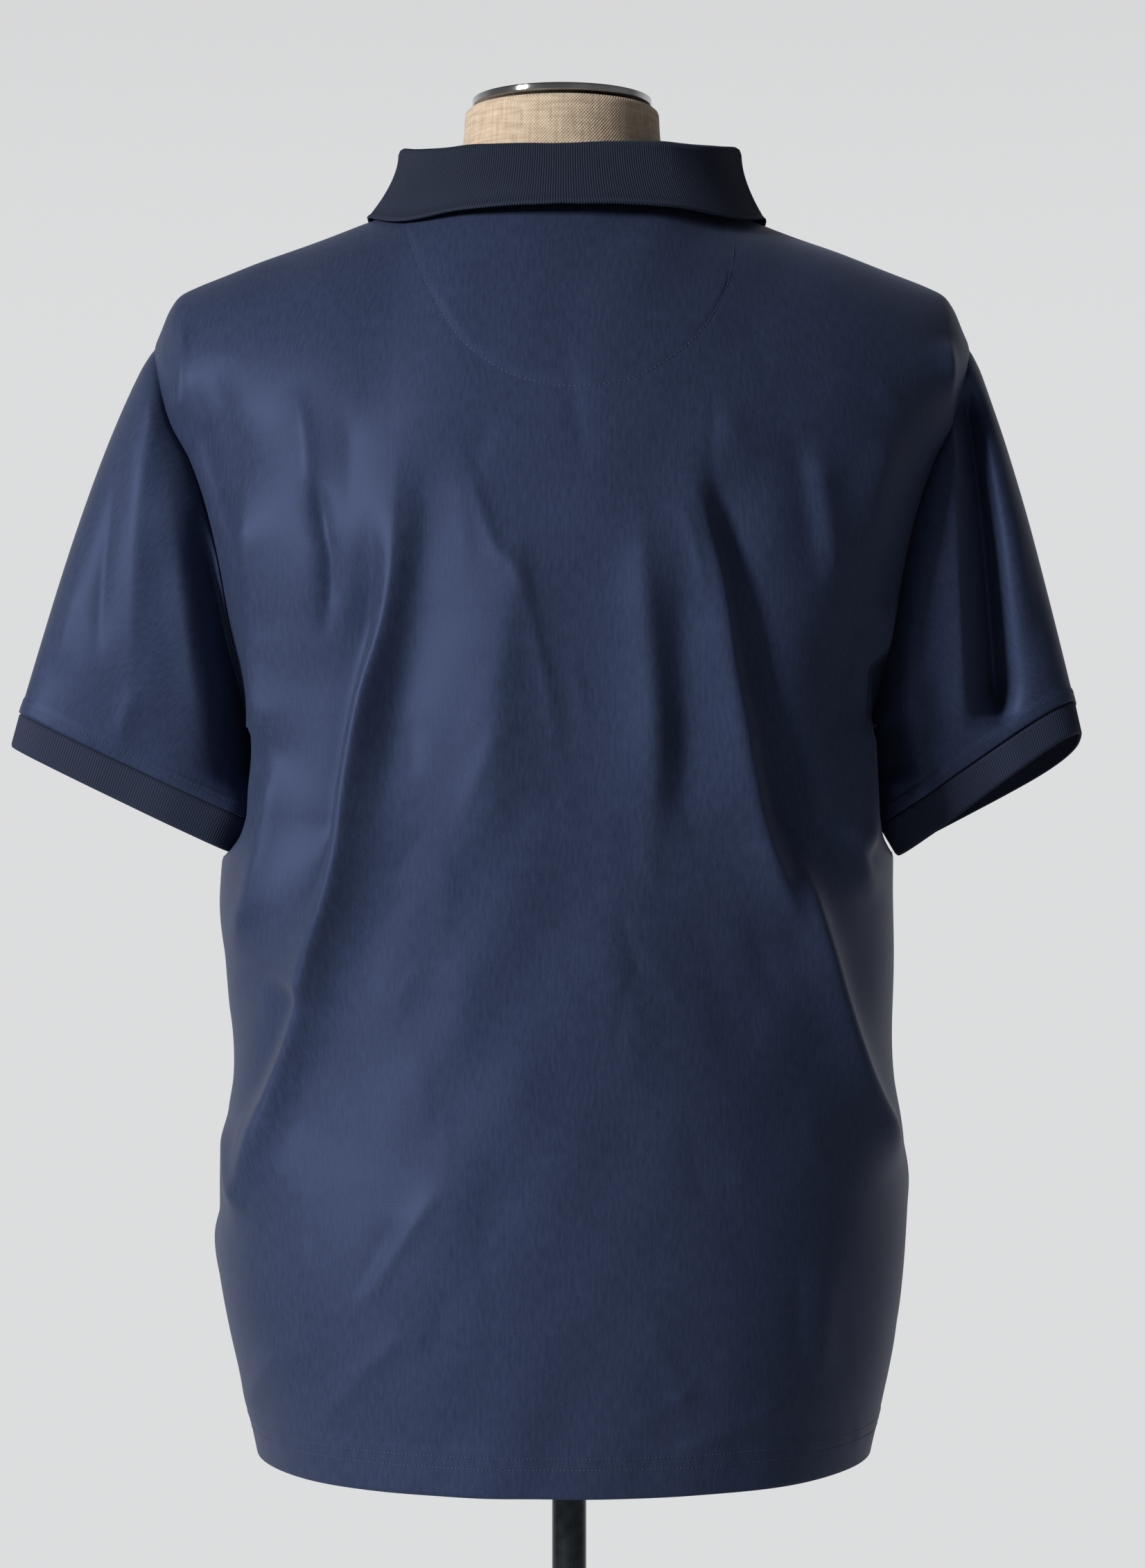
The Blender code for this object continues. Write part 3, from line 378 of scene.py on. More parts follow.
def smoothPath(points, steps):
    points = np.array(points)
    padded = np.concatenate((2 * points[:1] - points[1:2], points, 2 * points[-1:] - points[-2:-1]))
    at = np.linspace(0.0, len(points) - 1 - 1e-9, steps)
    i = at.astype(int)
    t = (at - i)[:, None]
    a, b, c, d = padded[i], padded[i + 1], padded[i + 2], padded[i + 3]
    bend = (2 * a - 5 * b + 4 * c - d) * t ** 2 + (3 * b - a - 3 * c + d) * t ** 3
    return 0.5 * (2 * b + (c - a) * t + bend)


creaseShape = {
    "steps": 32,
    "reach": 4.5,
    "reachFade": 0.4,
    "slope": 0.8,
}


def creaseField(x, z, creases, steps=creaseShape["steps"]):
    # how far the creases push the cloth out at each place
    total = np.zeros_like(x)
    for path, plusWidth, minusWidth, height, fade, rounding in creases:
        line = smoothPath(path, steps)
        margin = creaseShape["reach"] * max(plusWidth, minusWidth)
        low, high = line.min(axis=0) - margin, line.max(axis=0) + margin
        near = (x > low[0]) & (x < high[0]) & (z > low[1]) & (z < high[1])
        places = np.stack((x[near], z[near]), axis=1)
        best = np.full(len(places), 1e9)
        along = np.zeros(len(places))
        turned = np.zeros(len(places))
        for k in range(len(line) - 1):
            start, run = line[k], line[k + 1] - line[k]
            t = np.clip(((places - start) @ run) / (run @ run), 0.0, 1.0)
            off = places - (start + t[:, None] * run)
            gap = np.hypot(off[:, 0], off[:, 1])
            closer = gap < best
            best = np.where(closer, gap, best)
            along = np.where(closer, (k + t) / (len(line) - 1), along)
            turned = np.where(closer, run[0] * off[:, 1] - run[1] * off[:, 0], turned)
        width = np.where(turned > 0.0, plusWidth, minusWidth)
        taper = ease(np.minimum(along, 1.0 - along) / fade)
        slope = (np.sqrt(best ** 2 + rounding ** 2) - rounding) / (creaseShape["slope"] * width)
        within = ease((margin - best) / (creaseShape["reachFade"] * margin))
        total[near] += height * taper * np.exp(-slope) * within
    return total


wrinkle = {
    "count": 90,
    "length": (0.035, 0.110),
    "width": (0.0035, 0.0090),
    "height": (0.0002, 0.0009),
    "slant": (12.0, 14.0),
    "bow": 0.08,
    "skew": (0.6, 1.6),
    "rounding": 0.6,
    "fade": 0.40,
    "spread": 0.19,
    "steps": 6,
}


def fineWrinkles(seed, heights):
    # short shallow creases that run down and outward, as cloth shows where it has been folded and worn
    rng = np.random.default_rng(seed)
    rows = []
    for k in range(wrinkle["count"]):
        x = rng.uniform(-wrinkle["spread"], wrinkle["spread"])
        z = rng.uniform(*heights)
        slant = math.radians(rng.normal(*wrinkle["slant"])) * (1.0 if x > 0.0 else -1.0)
        length = rng.uniform(*wrinkle["length"])
        bow = rng.uniform(-wrinkle["bow"], wrinkle["bow"]) * length
        end = (x + length * math.sin(slant), z - length * math.cos(slant))
        middle = (0.5 * (x + end[0]) + bow, 0.5 * (z + end[1]))
        width = rng.uniform(*wrinkle["width"])
        height = rng.uniform(*wrinkle["height"]) * rng.choice((-1.0, 1.0))
        other = width * rng.uniform(*wrinkle["skew"])
        rounding = wrinkle["rounding"] * width
        rows.append((((x, z), middle, end), width, other, height, wrinkle["fade"], rounding))
    return tuple(rows)


ripple = {
    "waves": 9,
    "heading": 0.6,
    "length": (0.035, 0.120),
    "strength": (0.4, 1.0),
    "evenOut": 3.0,
}


def softRipple(x, z, size, seed):
    # slow uneven waves that keep broad cloth from looking ironed
    rng = np.random.default_rng(seed)
    total = np.zeros_like(x)
    for k in range(ripple["waves"]):
        heading = rng.uniform(-ripple["heading"], ripple["heading"])
        length = rng.uniform(*ripple["length"])
        along = 2.0 * math.pi * (x * math.cos(heading) + z * math.sin(heading)) / length
        total += np.sin(along + rng.uniform(0.0, 6.28)) * rng.uniform(*ripple["strength"])
    return size * total / ripple["evenOut"]


def seamDip(distance):
    return -body["seamDip"] * bell(distance, body["seamWidth"])


halfMoon = {
    "path": ((0.0953, 1.5059), (0.0864, 1.4806), (0.0747, 1.4556), (0.0593, 1.4314), (0.0396, 1.4151),
             (0.0206, 1.4065), (0.0016, 1.4026), (-0.0148, 1.4026), (-0.0367, 1.4057), (-0.0591, 1.4162),
             (-0.0814, 1.4350), (-0.0971, 1.4598), (-0.1033, 1.4802), (-0.1062, 1.4982)),
    "raise": 0.00035,
    "groove": 0.00030,
    "grooveWidth": 0.0011,
    "grooveClear": 0.0022,
    "pitch": 0.0030,
    "threadRadius": 0.00024,
    "within": 0.125,
    "above": 1.385,
}


def halfMoonLift(x, z):
    # the cloth inside the half-moon's stitches stands a trace higher and sinks along them
    line = smoothPath(halfMoon["path"], 60)
    near = (np.abs(x) < halfMoon["within"]) & (z > halfMoon["above"])
    px, pz = x[near], z[near]
    best = np.full(len(px), 1e9)
    for k in range(len(line) - 1):
        start, run = line[k], line[k + 1] - line[k]
        t = np.clip(((px - start[0]) * run[0] + (pz - start[1]) * run[1]) / (run @ run), 0.0, 1.0)
        best = np.minimum(best, np.hypot(px - start[0] - t * run[0], pz - start[1] - t * run[1]))
    order = np.argsort(line[:, 0])
    inside = (pz > np.interp(px, line[order, 0], line[order, 1])) & (px < line[0, 0]) & (px > line[-1, 0])
    lift = np.zeros_like(x)
    away = ease(best / halfMoon["grooveClear"])
    groove = halfMoon["groove"] * bell(best, halfMoon["grooveWidth"])
    lift[near] = halfMoon["raise"] * np.where(inside, away, 0.0) - groove
    return lift


drape = {
    "ripple": 0.0007,
    "seamClear": 0.014,
    "shoulderClear": 0.030,
    "placketHalf": 0.020,
    "placketFade": 0.012,
    "placketFoot": 1.24,
    "footFade": 0.03,
    "back": {"creases": backCreases, "gain": 1.25, "ripples": 11, "wrinkles": 5, "heights": (0.86, 1.46)},
    "front": {"creases": frontCreases, "gain": 1.0, "ripples": 23, "wrinkles": 9, "heights": (0.86, 1.42)},
}


def dressPanel(base, face):
    # the panel's real surface: creases, ripples, seam grooves and the stitched hem
    normals = gridNormals(base)
    x, z = base[:, :, 0], base[:, :, 2]
    across = arcLengths(base, 1)
    toSide = np.minimum(across, across[:, -1:] - across)
    up = arcLengths(base, 0)
    toShoulder = up[-1:] - up
    look = drape[face]
    lift = look["gain"] * creaseField(x, z, look["creases"])
    lift = lift + softRipple(x, z, drape["ripple"], look["ripples"])
    lift += creaseField(x, z, fineWrinkles(look["wrinkles"], look["heights"]), wrinkle["steps"])
    if face == "front":
        beside = ease((np.abs(x) - drape["placketHalf"]) / drape["placketFade"])
        lift *= beside + (1.0 - beside) * ease((drape["placketFoot"] - z) / drape["footFade"])
    lift *= ease(toSide / drape["seamClear"]) * ease(toShoulder / drape["shoulderClear"])
    if face == "back":
        lift += halfMoonLift(x, z)
    lift += seamDip(toSide) + seamDip(toShoulder)
    fromHem = z - body["hem"]
    lift += hem["doubled"] * (1.0 - ease((fromHem - hem["depth"]) / hem["depthFade"]))
    for row in hem["rows"]:
        lift -= hem["groove"] * bell(fromHem - row, hem["grooveWidth"])
    waves = sum(strength * np.sin(across / length + start) for length, start, strength in hem["puckerWaves"])
    lift += hem["pucker"] * waves * bell(fromHem - hem["puckerAt"], hem["puckerWidth"])
    grid = base + normals * lift[:, :, None]
    folds = creaseField(x, z, armFolds[face]["left"] + armFolds[face]["right"])
    grid[:, :, 1] += faceSign[face] * folds * ease(toShoulder / drape["shoulderClear"])
    centre = base.shape[1] // 2
    grain = np.stack((across - across[:, centre:centre + 1], up, np.zeros_like(across)), axis=2)
    return grid, grain


hem = {
    "rows": (0.0170, 0.0236),
    "pitch": 0.0023,
    "depth": 0.0255,
    "depthFade": 0.0025,
    "doubled": 0.0005,
    "groove": 0.00030,
    "grooveWidth": 0.0011,
    "pucker": 0.00012,
    "puckerAt": 0.020,
    "puckerWidth": 0.009,
    "puckerWaves": ((0.0047, 0.0, 1.0), (0.0031, 1.3, 0.6)),
    "inside": 0.0013,
    "roll": ((0.0011, 0.0002), (0.0008, 0.0005), (0.0004, 0.0004)),
}


def withHem(grid, grain):
    # the cloth turned up inside, as rows that run down behind the hem and round its edge
    normals = gridNormals(grid)
    down = [grid[k] - normals[k] * hem["inside"] for k in body["hemFold"]]
    for inward, drop in hem["roll"]:
        edge = grid[0] - normals[0] * inward
        edge[:, 2] -= drop
        down.append(edge)
    grains = [grain[k] for k in body["hemFold"]] + [grain[0]] * len(hem["roll"])
    return np.concatenate((np.stack(down), grid)), np.concatenate((np.stack(grains), grain))


def newPiece(name, verts, faces, material):
    mesh = bpy.data.meshes.new(name)
    mesh.from_pydata(verts, [], faces)
    mesh.shade_smooth()
    mesh.materials.append(material)
    piece = bpy.data.objects.new(name, mesh)
    bpy.context.scene.collection.objects.link(piece)
    piece.location.x = body["shiftX"]
    return piece


def meshOf(name, grid, material, grain=None, closed=False, thickness=0.0, skip=None):
    # one object from a grid of points; skip leaves faces out, and grain is the cloth's own measure
    rows, count = grid.shape[:2]
    index = np.arange(rows * count).reshape(rows, count)
    right = np.roll(index, -1, axis=1)
    quads = np.stack((index[:-1], right[:-1], right[1:], index[1:]), axis=2)
    if not closed:
        quads = quads[:, :-1]
    if skip is not None:
        quads = quads[~skip]
    quads = quads.reshape(-1, 4)
    used = np.unique(quads)
    order = np.zeros(rows * count, dtype=int)
    order[used] = np.arange(len(used))
    piece = newPiece(name, grid.reshape(-1, 3)[used].tolist(), order[quads].tolist(), material)
    if grain is not None:
        layer = piece.data.attributes.new("grain", "FLOAT_VECTOR", "POINT")
        layer.data.foreach_set("vector", grain.reshape(-1, 3)[used].astype(np.float32).ravel())
    if thickness:
        shell = piece.modifiers.new("thickness", "SOLIDIFY")
        shell.thickness = thickness
        shell.offset = -1.0
    return piece


# cloth, metal and linen finishes

class Finish:
    # one material, with the few moves that every finish here is made of
    def __init__(self, name):
        self.material = bpy.data.materials.new(name)
        self.material.use_nodes = True
        self.nodes = self.material.node_tree.nodes
        self.links = self.material.node_tree.links
        self.shader = self.nodes["Principled BSDF"]

    def link(self, value, place):
        self.links.new(value, self.shader.inputs[place])

    def hold(self, sockets):
        for place, value in sockets.items():
            self.shader.inputs[place].default_value = value

    def grain(self):
        grain = self.nodes.new("ShaderNodeAttribute")
        grain.attribute_name = "grain"
        split = self.nodes.new("ShaderNodeSeparateXYZ")
        self.links.new(grain.outputs["Vector"], split.inputs[0])
        return grain.outputs["Vector"], split.outputs

    def combine(self, operation, *values):
        # each value is a number or the output of another node
        node = self.nodes.new("ShaderNodeMath")
        node.operation = operation
        for k, value in enumerate(values):
            if isinstance(value, (int, float)):
                node.inputs[k].default_value = value
            else:
                self.links.new(value, node.inputs[k])
        return node.outputs[0]

    def times(self, value, factor):
        return self.combine("MULTIPLY", value, factor)

    def addTo(self, rest, value, factor):
        return self.combine("MULTIPLY_ADD", value, factor, rest)

    def wave(self, value, pitch):
        return self.combine("SINE", self.times(value, 2.0 * math.pi / pitch))

    def noise(self, vector, scale, detail=2.0, stretch=None):
        if stretch:
            mapping = self.nodes.new("ShaderNodeMapping")
            mapping.inputs["Scale"].default_value = stretch
            self.links.new(vector, mapping.inputs["Vector"])
            vector = mapping.outputs[0]
        noise = self.nodes.new("ShaderNodeTexNoise")
        noise.inputs["Scale"].default_value = scale
        noise.inputs["Detail"].default_value = detail
        self.links.new(vector, noise.inputs["Vector"])
        return noise.outputs["Fac"]

    def colour(self, tone, look, spread):
        ramp = self.nodes.new("ShaderNodeValToRGB")
        shades = (look["dark"], look["light"])
        for element, position, shade in zip(ramp.color_ramp.elements, spread, shades):
            element.position = position
            element.color = (*shade, 1.0)
        self.links.new(tone, ramp.inputs[0])
        self.link(ramp.outputs[0], "Base Color")

    def roughness(self, value, low, high):
        rough = self.nodes.new("ShaderNodeMapRange")
        rough.inputs["To Min"].default_value = low
        rough.inputs["To Max"].default_value = high
        self.links.new(value, rough.inputs["Value"])
        self.link(rough.outputs[0], "Roughness")

    def relief(self, height, strength, distance):
        bump = self.nodes.new("ShaderNodeBump")
        bump.inputs["Strength"].default_value = strength
        bump.inputs["Distance"].default_value = distance
        self.links.new(height, bump.inputs["Height"])
        self.link(bump.outputs[0], "Normal")


jerseyLook = {
    "dark": (0.0112, 0.0164, 0.0362),
    "light": (0.0315, 0.0435, 0.0880),
    "walePitch": 0.00062,
    "coursePitch": 0.00052,
    "fuzzSize": 1250.0,
    "streakSize": 520.0,
    "cloudSize": 24.0,
    "streakStretch": (1.0, 0.22, 1.0),
    "courseShare": 0.5,
    "toneShares": {"streak": 0.42, "fuzz": 0.50, "cloud": 0.14, "knit": 0.035},
    "toneSpread": (0.30, 0.78),
    "reliefKnit": 0.30,
    "relief": (0.30, 0.00012),
    "roughness": (0.49, 0.61),
    "gloss": {"Specular IOR Level": 0.34, "Specular Tint": (0.40, 0.52, 1.0, 1.0), "Sheen Weight": 0.10,
              "Sheen Roughness": 0.42, "Sheen Tint": (0.55, 0.64, 1.0, 1.0)},
}


def jerseyCloth(name, look):
    # fine knitted loops, with soft streaks along the wales and a few paler threads
    cloth = Finish(name)
    grain, split = cloth.grain()
    wale = cloth.wave(split["X"], look["walePitch"])
    course = cloth.wave(split["Y"], look["coursePitch"])
    knit = cloth.addTo(wale, course, look["courseShare"])
    fuzz = cloth.noise(grain, look["fuzzSize"], 3.0)
    streak = cloth.noise(grain, look["streakSize"], 2.0, look["streakStretch"])
    cloud = cloth.noise(grain, look["cloudSize"], 3.0)
    shares = look["toneShares"]
    tone = cloth.addTo(cloth.times(streak, shares["streak"]), fuzz, shares["fuzz"])
    tone = cloth.addTo(tone, cloud, shares["cloud"])
    tone = cloth.addTo(tone, knit, shares["knit"])
    cloth.colour(tone, look, look["toneSpread"])
    cloth.relief(cloth.addTo(fuzz, knit, look["reliefKnit"]), *look["relief"])
    cloth.roughness(streak, *look["roughness"])
    cloth.hold(look["gloss"])
    return cloth.material


ribLook = {
    "dark": (0.0042, 0.0066, 0.0165),
    "light": (0.0225, 0.0325, 0.0680),
    "coursePitch": 0.00080,
    "fuzzSize": 1100.0,
    # the crown share sets how much painted shade the furrows and painted highlight the crowns get
    "toneShares": {"crown": 0.70, "fuzz": 0.45},
    "toneSpread": (0.15, 0.95),
    "reliefCourse": 0.35,
    "relief": (0.40, 0.00015),
    "gloss": {"Roughness": 0.80, "Specular IOR Level": 0.25, "Sheen Weight": 0.07, "Sheen Roughness": 0.5,
              "Sheen Tint": (0.55, 0.70, 1.0, 1.0)},
}


def ribCloth(name, look):
    # the grain's third number is the rib's own height, 0 in the furrow and 1 on the crown; the tone follows
    # it, so the furrows carry painted shade and the crowns a painted highlight
    cloth = Finish(name)
    grain, split = cloth.grain()
    fuzz = cloth.noise(grain, look["fuzzSize"], 3.0)
    shares = look["toneShares"]
    # crowns painted lighter and furrows darker: painted highlight and painted shade across the ribs
    tone = cloth.addTo(cloth.times(split["Z"], shares["crown"]), fuzz, shares["fuzz"])
    cloth.colour(tone, look, look["toneSpread"])
    course = cloth.wave(split["Y"], look["coursePitch"])
    cloth.relief(cloth.addTo(fuzz, course, look["reliefCourse"]), *look["relief"])
    cloth.hold(look["gloss"])
    return cloth.material


linenLook = {
    "dark": (0.270, 0.175, 0.100),
    "light": (0.720, 0.590, 0.450),
    "threadPitch": 0.00105,
    "wobble": 0.9,
    "unevenSize": 260.0,
    "slubSize": 420.0,
    "slubStretches": ((0.12, 1.0, 1.0), (1.0, 0.12, 1.0)),
    "toneShares": {"slub": 0.52, "weave": 0.10},
    "toneSpread": (0.18, 0.80),
    "reliefSlub": 0.6,
    "relief": (0.55, 0.00030),
    "gloss": {"Roughness": 0.85, "Specular IOR Level": 0.22, "Sheen Weight": 0.10},
}


def linenCloth(name, look):
    # a plain weave: each thread stands high over one neighbour and low under the next
    cloth = Finish(name)
    grain, split = cloth.grain()
    uneven = cloth.noise(grain, look["unevenSize"], 2.0)
    threads = []
    for axis in ("X", "Y"):
        phase = cloth.times(split[axis], math.pi / look["threadPitch"])
        threads.append(cloth.combine("SINE", cloth.addTo(phase, uneven, look["wobble"])))
    over = cloth.times(*threads)
    slubs = [cloth.noise(grain, look["slubSize"], 3.0, stretch) for stretch in look["slubStretches"]]
    slubs = cloth.combine("ADD", *slubs)
    shares = look["toneShares"]
    tone = cloth.addTo(cloth.times(slubs, shares["slub"]), over, shares["weave"])
    cloth.colour(tone, look, look["toneSpread"])
    cloth.relief(cloth.addTo(over, slubs, look["reliefSlub"]), *look["relief"])
    cloth.hold(look["gloss"])
    return cloth.material


def speckled(name, dark, light, scale, roughness, metallic=0.0, bumpSize=0.0):
    finish = Finish(name)
    place = finish.nodes.new("ShaderNodeTexCoord").outputs["Object"]
    noise = finish.noise(place, scale, 4.0)
    finish.colour(noise, {"dark": dark, "light": light}, (0.35, 0.65))
    finish.roughness(noise, roughness * 0.8, roughness * 1.2)
    if bumpSize:
        finish.relief(noise, 1.0, bumpSize)
    finish.hold({"Metallic": metallic})
    return finish.material


navyJersey = jerseyCloth("navyJersey", jerseyLook)
navyRib = ribCloth("navyRib", ribLook)
navyThread = speckled("navyThread", (0.026, 0.036, 0.085), (0.050, 0.068, 0.145), 900.0, 0.50)
# dark discs at needle and button holes: painted shade where the holes would be
needleHoleShade = speckled("needleHoleShade", (0.0022, 0.0030, 0.0068), (0.0042, 0.0055, 0.0110), 500.0, 0.90)
navyButton = speckled("navyButton", (0.012, 0.017, 0.038), (0.024, 0.032, 0.064), 220.0, 0.28)
naturalLinen = linenCloth("naturalLinen", linenLook)
# chrome coloured darker than bright chrome: a painted dark reflection in place of a dark studio the scene
# lacks
polishedChrome = speckled("polishedChrome", (0.34, 0.34, 0.35), (0.46, 0.46, 0.47), 60.0, 0.09, 1.0)
darkMetal = speckled("darkMetal", (0.018, 0.023, 0.028), (0.034, 0.041, 0.048), 140.0, 0.34, 0.75, 0.00004)
print("materials made")


# back and front

def keepPiece(piece, node):
    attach(piece, "root")
    if node:
        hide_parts(node)


backBase = wholePanel("back")
frontBase = wholePanel("front")
backGrid, backGrain = dressPanel(backBase, "back")
frontGrid, frontGrain = dressPanel(frontBase, "front")
columnCount = backBase.shape[1]
centreColumn = columnCount // 2
underRow = body["levelRows"]
for row in range(underRow + 1):
    frontGrid[row, 0] = backGrid[row, -1]
    frontGrid[row, -1] = backGrid[row, 0]
onShoulder = np.abs(backBase[-1, :, 0]) >= body["neckHalf"] - 1e-5
frontGrid[-1, onShoulder[::-1]] = backGrid[-1, onShoulder][::-1]

slitTop = frontBase[-1, centreColumn, 2]
slitRow = int(np.argmin(np.abs(frontBase[:, centreColumn, 2] - slitTop + body["slitLength"])))
backHem, backHemGrain = withHem(backGrid, backGrain)
frontHem, frontHemGrain = withHem(frontGrid, frontGrain)
hemRows = len(frontHem) - len(frontGrid)
slit = np.zeros((len(frontHem) - 1, columnCount - 1), dtype=bool)
slit[hemRows + slitRow:, centreColumn - body["columns"][0]:centreColumn + body["columns"][0]] = True
backPanel = meshOf("backPanel", backHem, navyJersey, backHemGrain)
keepPiece(backPanel, "back")
frontPanel = meshOf("frontPanel", frontHem, navyJersey, frontHemGrain, skip=slit)
keepPiece(frontPanel, "front")
print("body panels made:", len(backHem), "rows,", columnCount, "columns")


# sleeves and cuffs

sleeve = {
    "rows": 118,
    "swell": 0.016,
    "swingBack": 0.020,
    "square": 0.75,
    "lip": 0.0009,
    "lipDepth": 0.0075,
    "stitchRow": 0.0066,
    "stitchPitch": 0.0022,
    "groove": 0.00030,
    "grooveWidth": 0.0010,
    "bulgeWay": (0.92, 0.39),
    "ripple": 0.0006,
    "frontCreases": 0.6,
    "foldFade": 0.30,
    "creaseFade": 0.35,
    "lipFade": 0.0025,
    "turnedIn": ((-1, 0.0007), (-1, 0.0014), (-3, 0.0015), (-6, 0.0015)),
    "left": {"outer": (0.3395, 1.2110), "inner": (0.1965, 1.1440), "halfDepth": 0.030, "bulge": 0.006,
             "lean": -0.18, "tilt": 0.000, "ripples": 31},
    "right": {"outer": (0.3215, 1.2140), "inner": (0.1985, 1.1410), "halfDepth": 0.030, "bulge": 0.004,
              "lean": -0.32, "tilt": 0.006, "ripples": 37},
}
sleeveCreases = {
    "left": inMetres(
        (((214, 1345), (203, 1290), (198, 1240), (196, 1190), (195, 1150)), 15, 12, -25, 0.2, 6),
        (((250.7, 1431), (253.3, 1407), (256.3, 1377), (259.3, 1351.5), (261.4, 1326)),
         10, 9, 2.2, 0.35, 5),
        (((262, 1400), (262, 1330), (264, 1270), (268, 1215)), 9, 12, 2.2, 0.35, 4),
        (((242, 1370), (233, 1290), (228, 1240), (224, 1190)), 8, 8, 2.6, 0.35, 3),
        (((272, 1380), (281, 1310), (287, 1235)), 10, 7, -4.6, 0.35, 3),
        (((300, 1300), (308, 1262), (314, 1230)), 7, 6, 1.6, 0.35, 3),
        (((262, 1230), (270, 1205), (276, 1185)), 6, 6, 1.8, 0.35, 3)
    ),
    "right": inMetres(
        (((-212.4, 1192), (-223.2, 1166.6), (-212.4, 1156)), 8, 8, 3, 0.35, 3),
        (((-200, 1215), (-203, 1185), (-206, 1165)), 12, 10, -10, 0.3, 5),
        (((-222, 1245), (-231, 1215), (-238, 1185)), 10, 10, -3, 0.35, 5),
        (((-286, 1330), (-293, 1280), (-298, 1235)), 9, 9, -1.6, 0.35, 5)
    ),
}


def armholeLoop(back, front, side):
    # down the back's armhole from the shoulder and up the front's
    edge = (0, -1) if side == "left" else (-1, 0)
    down = back[underRow:, edge[0]][::-1]
    up = front[underRow + 1:-1, edge[1]]
    return np.concatenate((down, up))


def loopTurns(loop):
    # 0 at the shoulder, half a turn under the arm
    low = int(loop[:, 2].argmin())
    top, bottom = loop[0, 2], loop[low, 2]
    turns = np.arccos(np.clip(2.0 * (loop[:, 2] - bottom) / (top - bottom) - 1.0, -1.0, 1.0))
    return np.where(np.arange(len(loop)) <= low, turns, 2.0 * math.pi - turns)


def cuffPoints(side, turns, slide):
    # the sleeve's end as a flattened ring, moved down along the cuff by slide
    ring = sleeve[side]
    sign = sideSign[side]
    outer = np.array((sign * ring["outer"][0], 0.0, ring["outer"][1]))
    inner = np.array((sign * ring["inner"][0], 0.0, ring["inner"][1]))
    centre = 0.5 * (outer + inner) + np.array((0.0, sleeve["swingBack"], 0.0))
    across = 0.5 * (outer - inner)
    swing = signedPower(np.cos(turns), sleeve["square"])
    sway = signedPower(np.sin(turns), sleeve["square"])
    points = centre + across * swing[..., None]
    points[..., 1] += ring["halfDepth"] * sway
    points[..., 2] += ring["tilt"] * (1.0 + swing) * sway
    along = np.array((across[2], 0.0, -across[0])) * sign
    along /= np.linalg.norm(along)
    lean = sign * ring["lean"] * 0.5 * (1.0 + swing)
    slide = np.broadcast_to(slide, turns.shape)
    points += slide[..., None] * along
    points[..., 0] += slide * lean
    return points


def sleeveWave(side, points, turns):
    # creases push the back face towards +Y and the front face towards -Y
    x, z = points[..., 0], points[..., 2]
    sway = np.sin(turns)
    rear = creaseField(x, z, armFolds["back"][side]) * ease(sway / sleeve["foldFade"])
    fore = creaseField(x, z, armFolds["front"][side]) * ease(-sway / sleeve["foldFade"])
    own = creaseField(x, z, sleeveCreases[side])
    own = own + softRipple(x, z, sleeve["ripple"], sleeve[side]["ripples"])
    half = np.sign(sway) * np.where(sway >= 0.0, 1.0, sleeve["frontCreases"])
    return rear - fore + own * half * ease(np.abs(sway) / sleeve["creaseFade"])


def sleeveGrid(side):
    ring = sleeve[side]
    loop = armholeLoop(backBase, frontBase, side)
    dressed = armholeLoop(backGrid, frontGrid, side)
    turns = loopTurns(loop)
    share = np.linspace(0.0, 1.0, sleeve["rows"] + 1)[:, None]
    end = cuffPoints(side, turns, 0.0)
    grid = loop[None] + (end - loop)[None] * share[:, :, None]
    top = np.maximum(0.0, np.cos(turns))[None] ** 1.5
    bulge = ring["bulge"] * top * np.sin(math.pi * share ** 0.75)
    grid[:, :, 0] += sideSign[side] * sleeve["bulgeWay"][0] * bulge
    grid[:, :, 2] += sleeve["bulgeWay"][1] * bulge
    swell = sleeve["swell"] * np.abs(np.sin(turns))[None] ** 0.6 * np.sin(math.pi * share ** 0.6)
    grid[:, :, 1] += np.sign(np.sin(turns))[None] * swell
    fromSeam = arcLengths(grid, 0)
    fromCuff = fromSeam[-1:] - fromSeam
    grid[:, :, 1] += sleeveWave(side, grid, np.repeat(turns[None], len(share), axis=0))
    normals = gridNormals(grid, closed=True) * -sideSign[side]
    lift = sleeve["lip"] * (1.0 - ease((fromCuff - sleeve["lipDepth"]) / sleeve["lipFade"]))
    lift -= sleeve["groove"] * bell(fromCuff - sleeve["stitchRow"], sleeve["grooveWidth"])
    lift += seamDip(fromSeam) * (fromSeam > 0.0)
    grid += normals * lift[:, :, None]
    miss = dressed - grid[0]
    grid += miss[None] * (1.0 - ease(fromSeam / body["seamBlend"]))[:, :, None]
    inside = [grid[row] - normals[row] * inward for row, inward in sleeve["turnedIn"]]
    grid = np.concatenate((grid, np.stack(inside)))
    normals = np.concatenate((normals, np.repeat(normals[-1:], len(inside), axis=0)))
    length = arcLengths(grid, 0)
    around = arcLengths(np.concatenate((grid, grid[:, :1]), axis=1), 1)[:, :-1]
    low = int(np.abs(turns - math.pi).argmin())
    grain = np.stack((around - around[:, low:low + 1], length, np.zeros_like(around)), axis=2)
    if side == "left":
        return grid[:, ::-1], grain[:, ::-1], normals[:, ::-1]
    return grid, grain, normals


cuff = {
    "depth": 0.0235,
    "rows": 12,
    "ribPitch": 0.00165,
    "ribHeight": 0.00022,
    "tuck": 0.0010,
    "tuckFade": 0.0015,
    "ribFade": (0.0016, 0.0020),
    "edgeRound": 0.0005,
    "edgeWidth": 0.0008,
    "thickness": 0.0014,
}
ribProfile = np.array((0.0, 0.5, 1.0, 0.5))


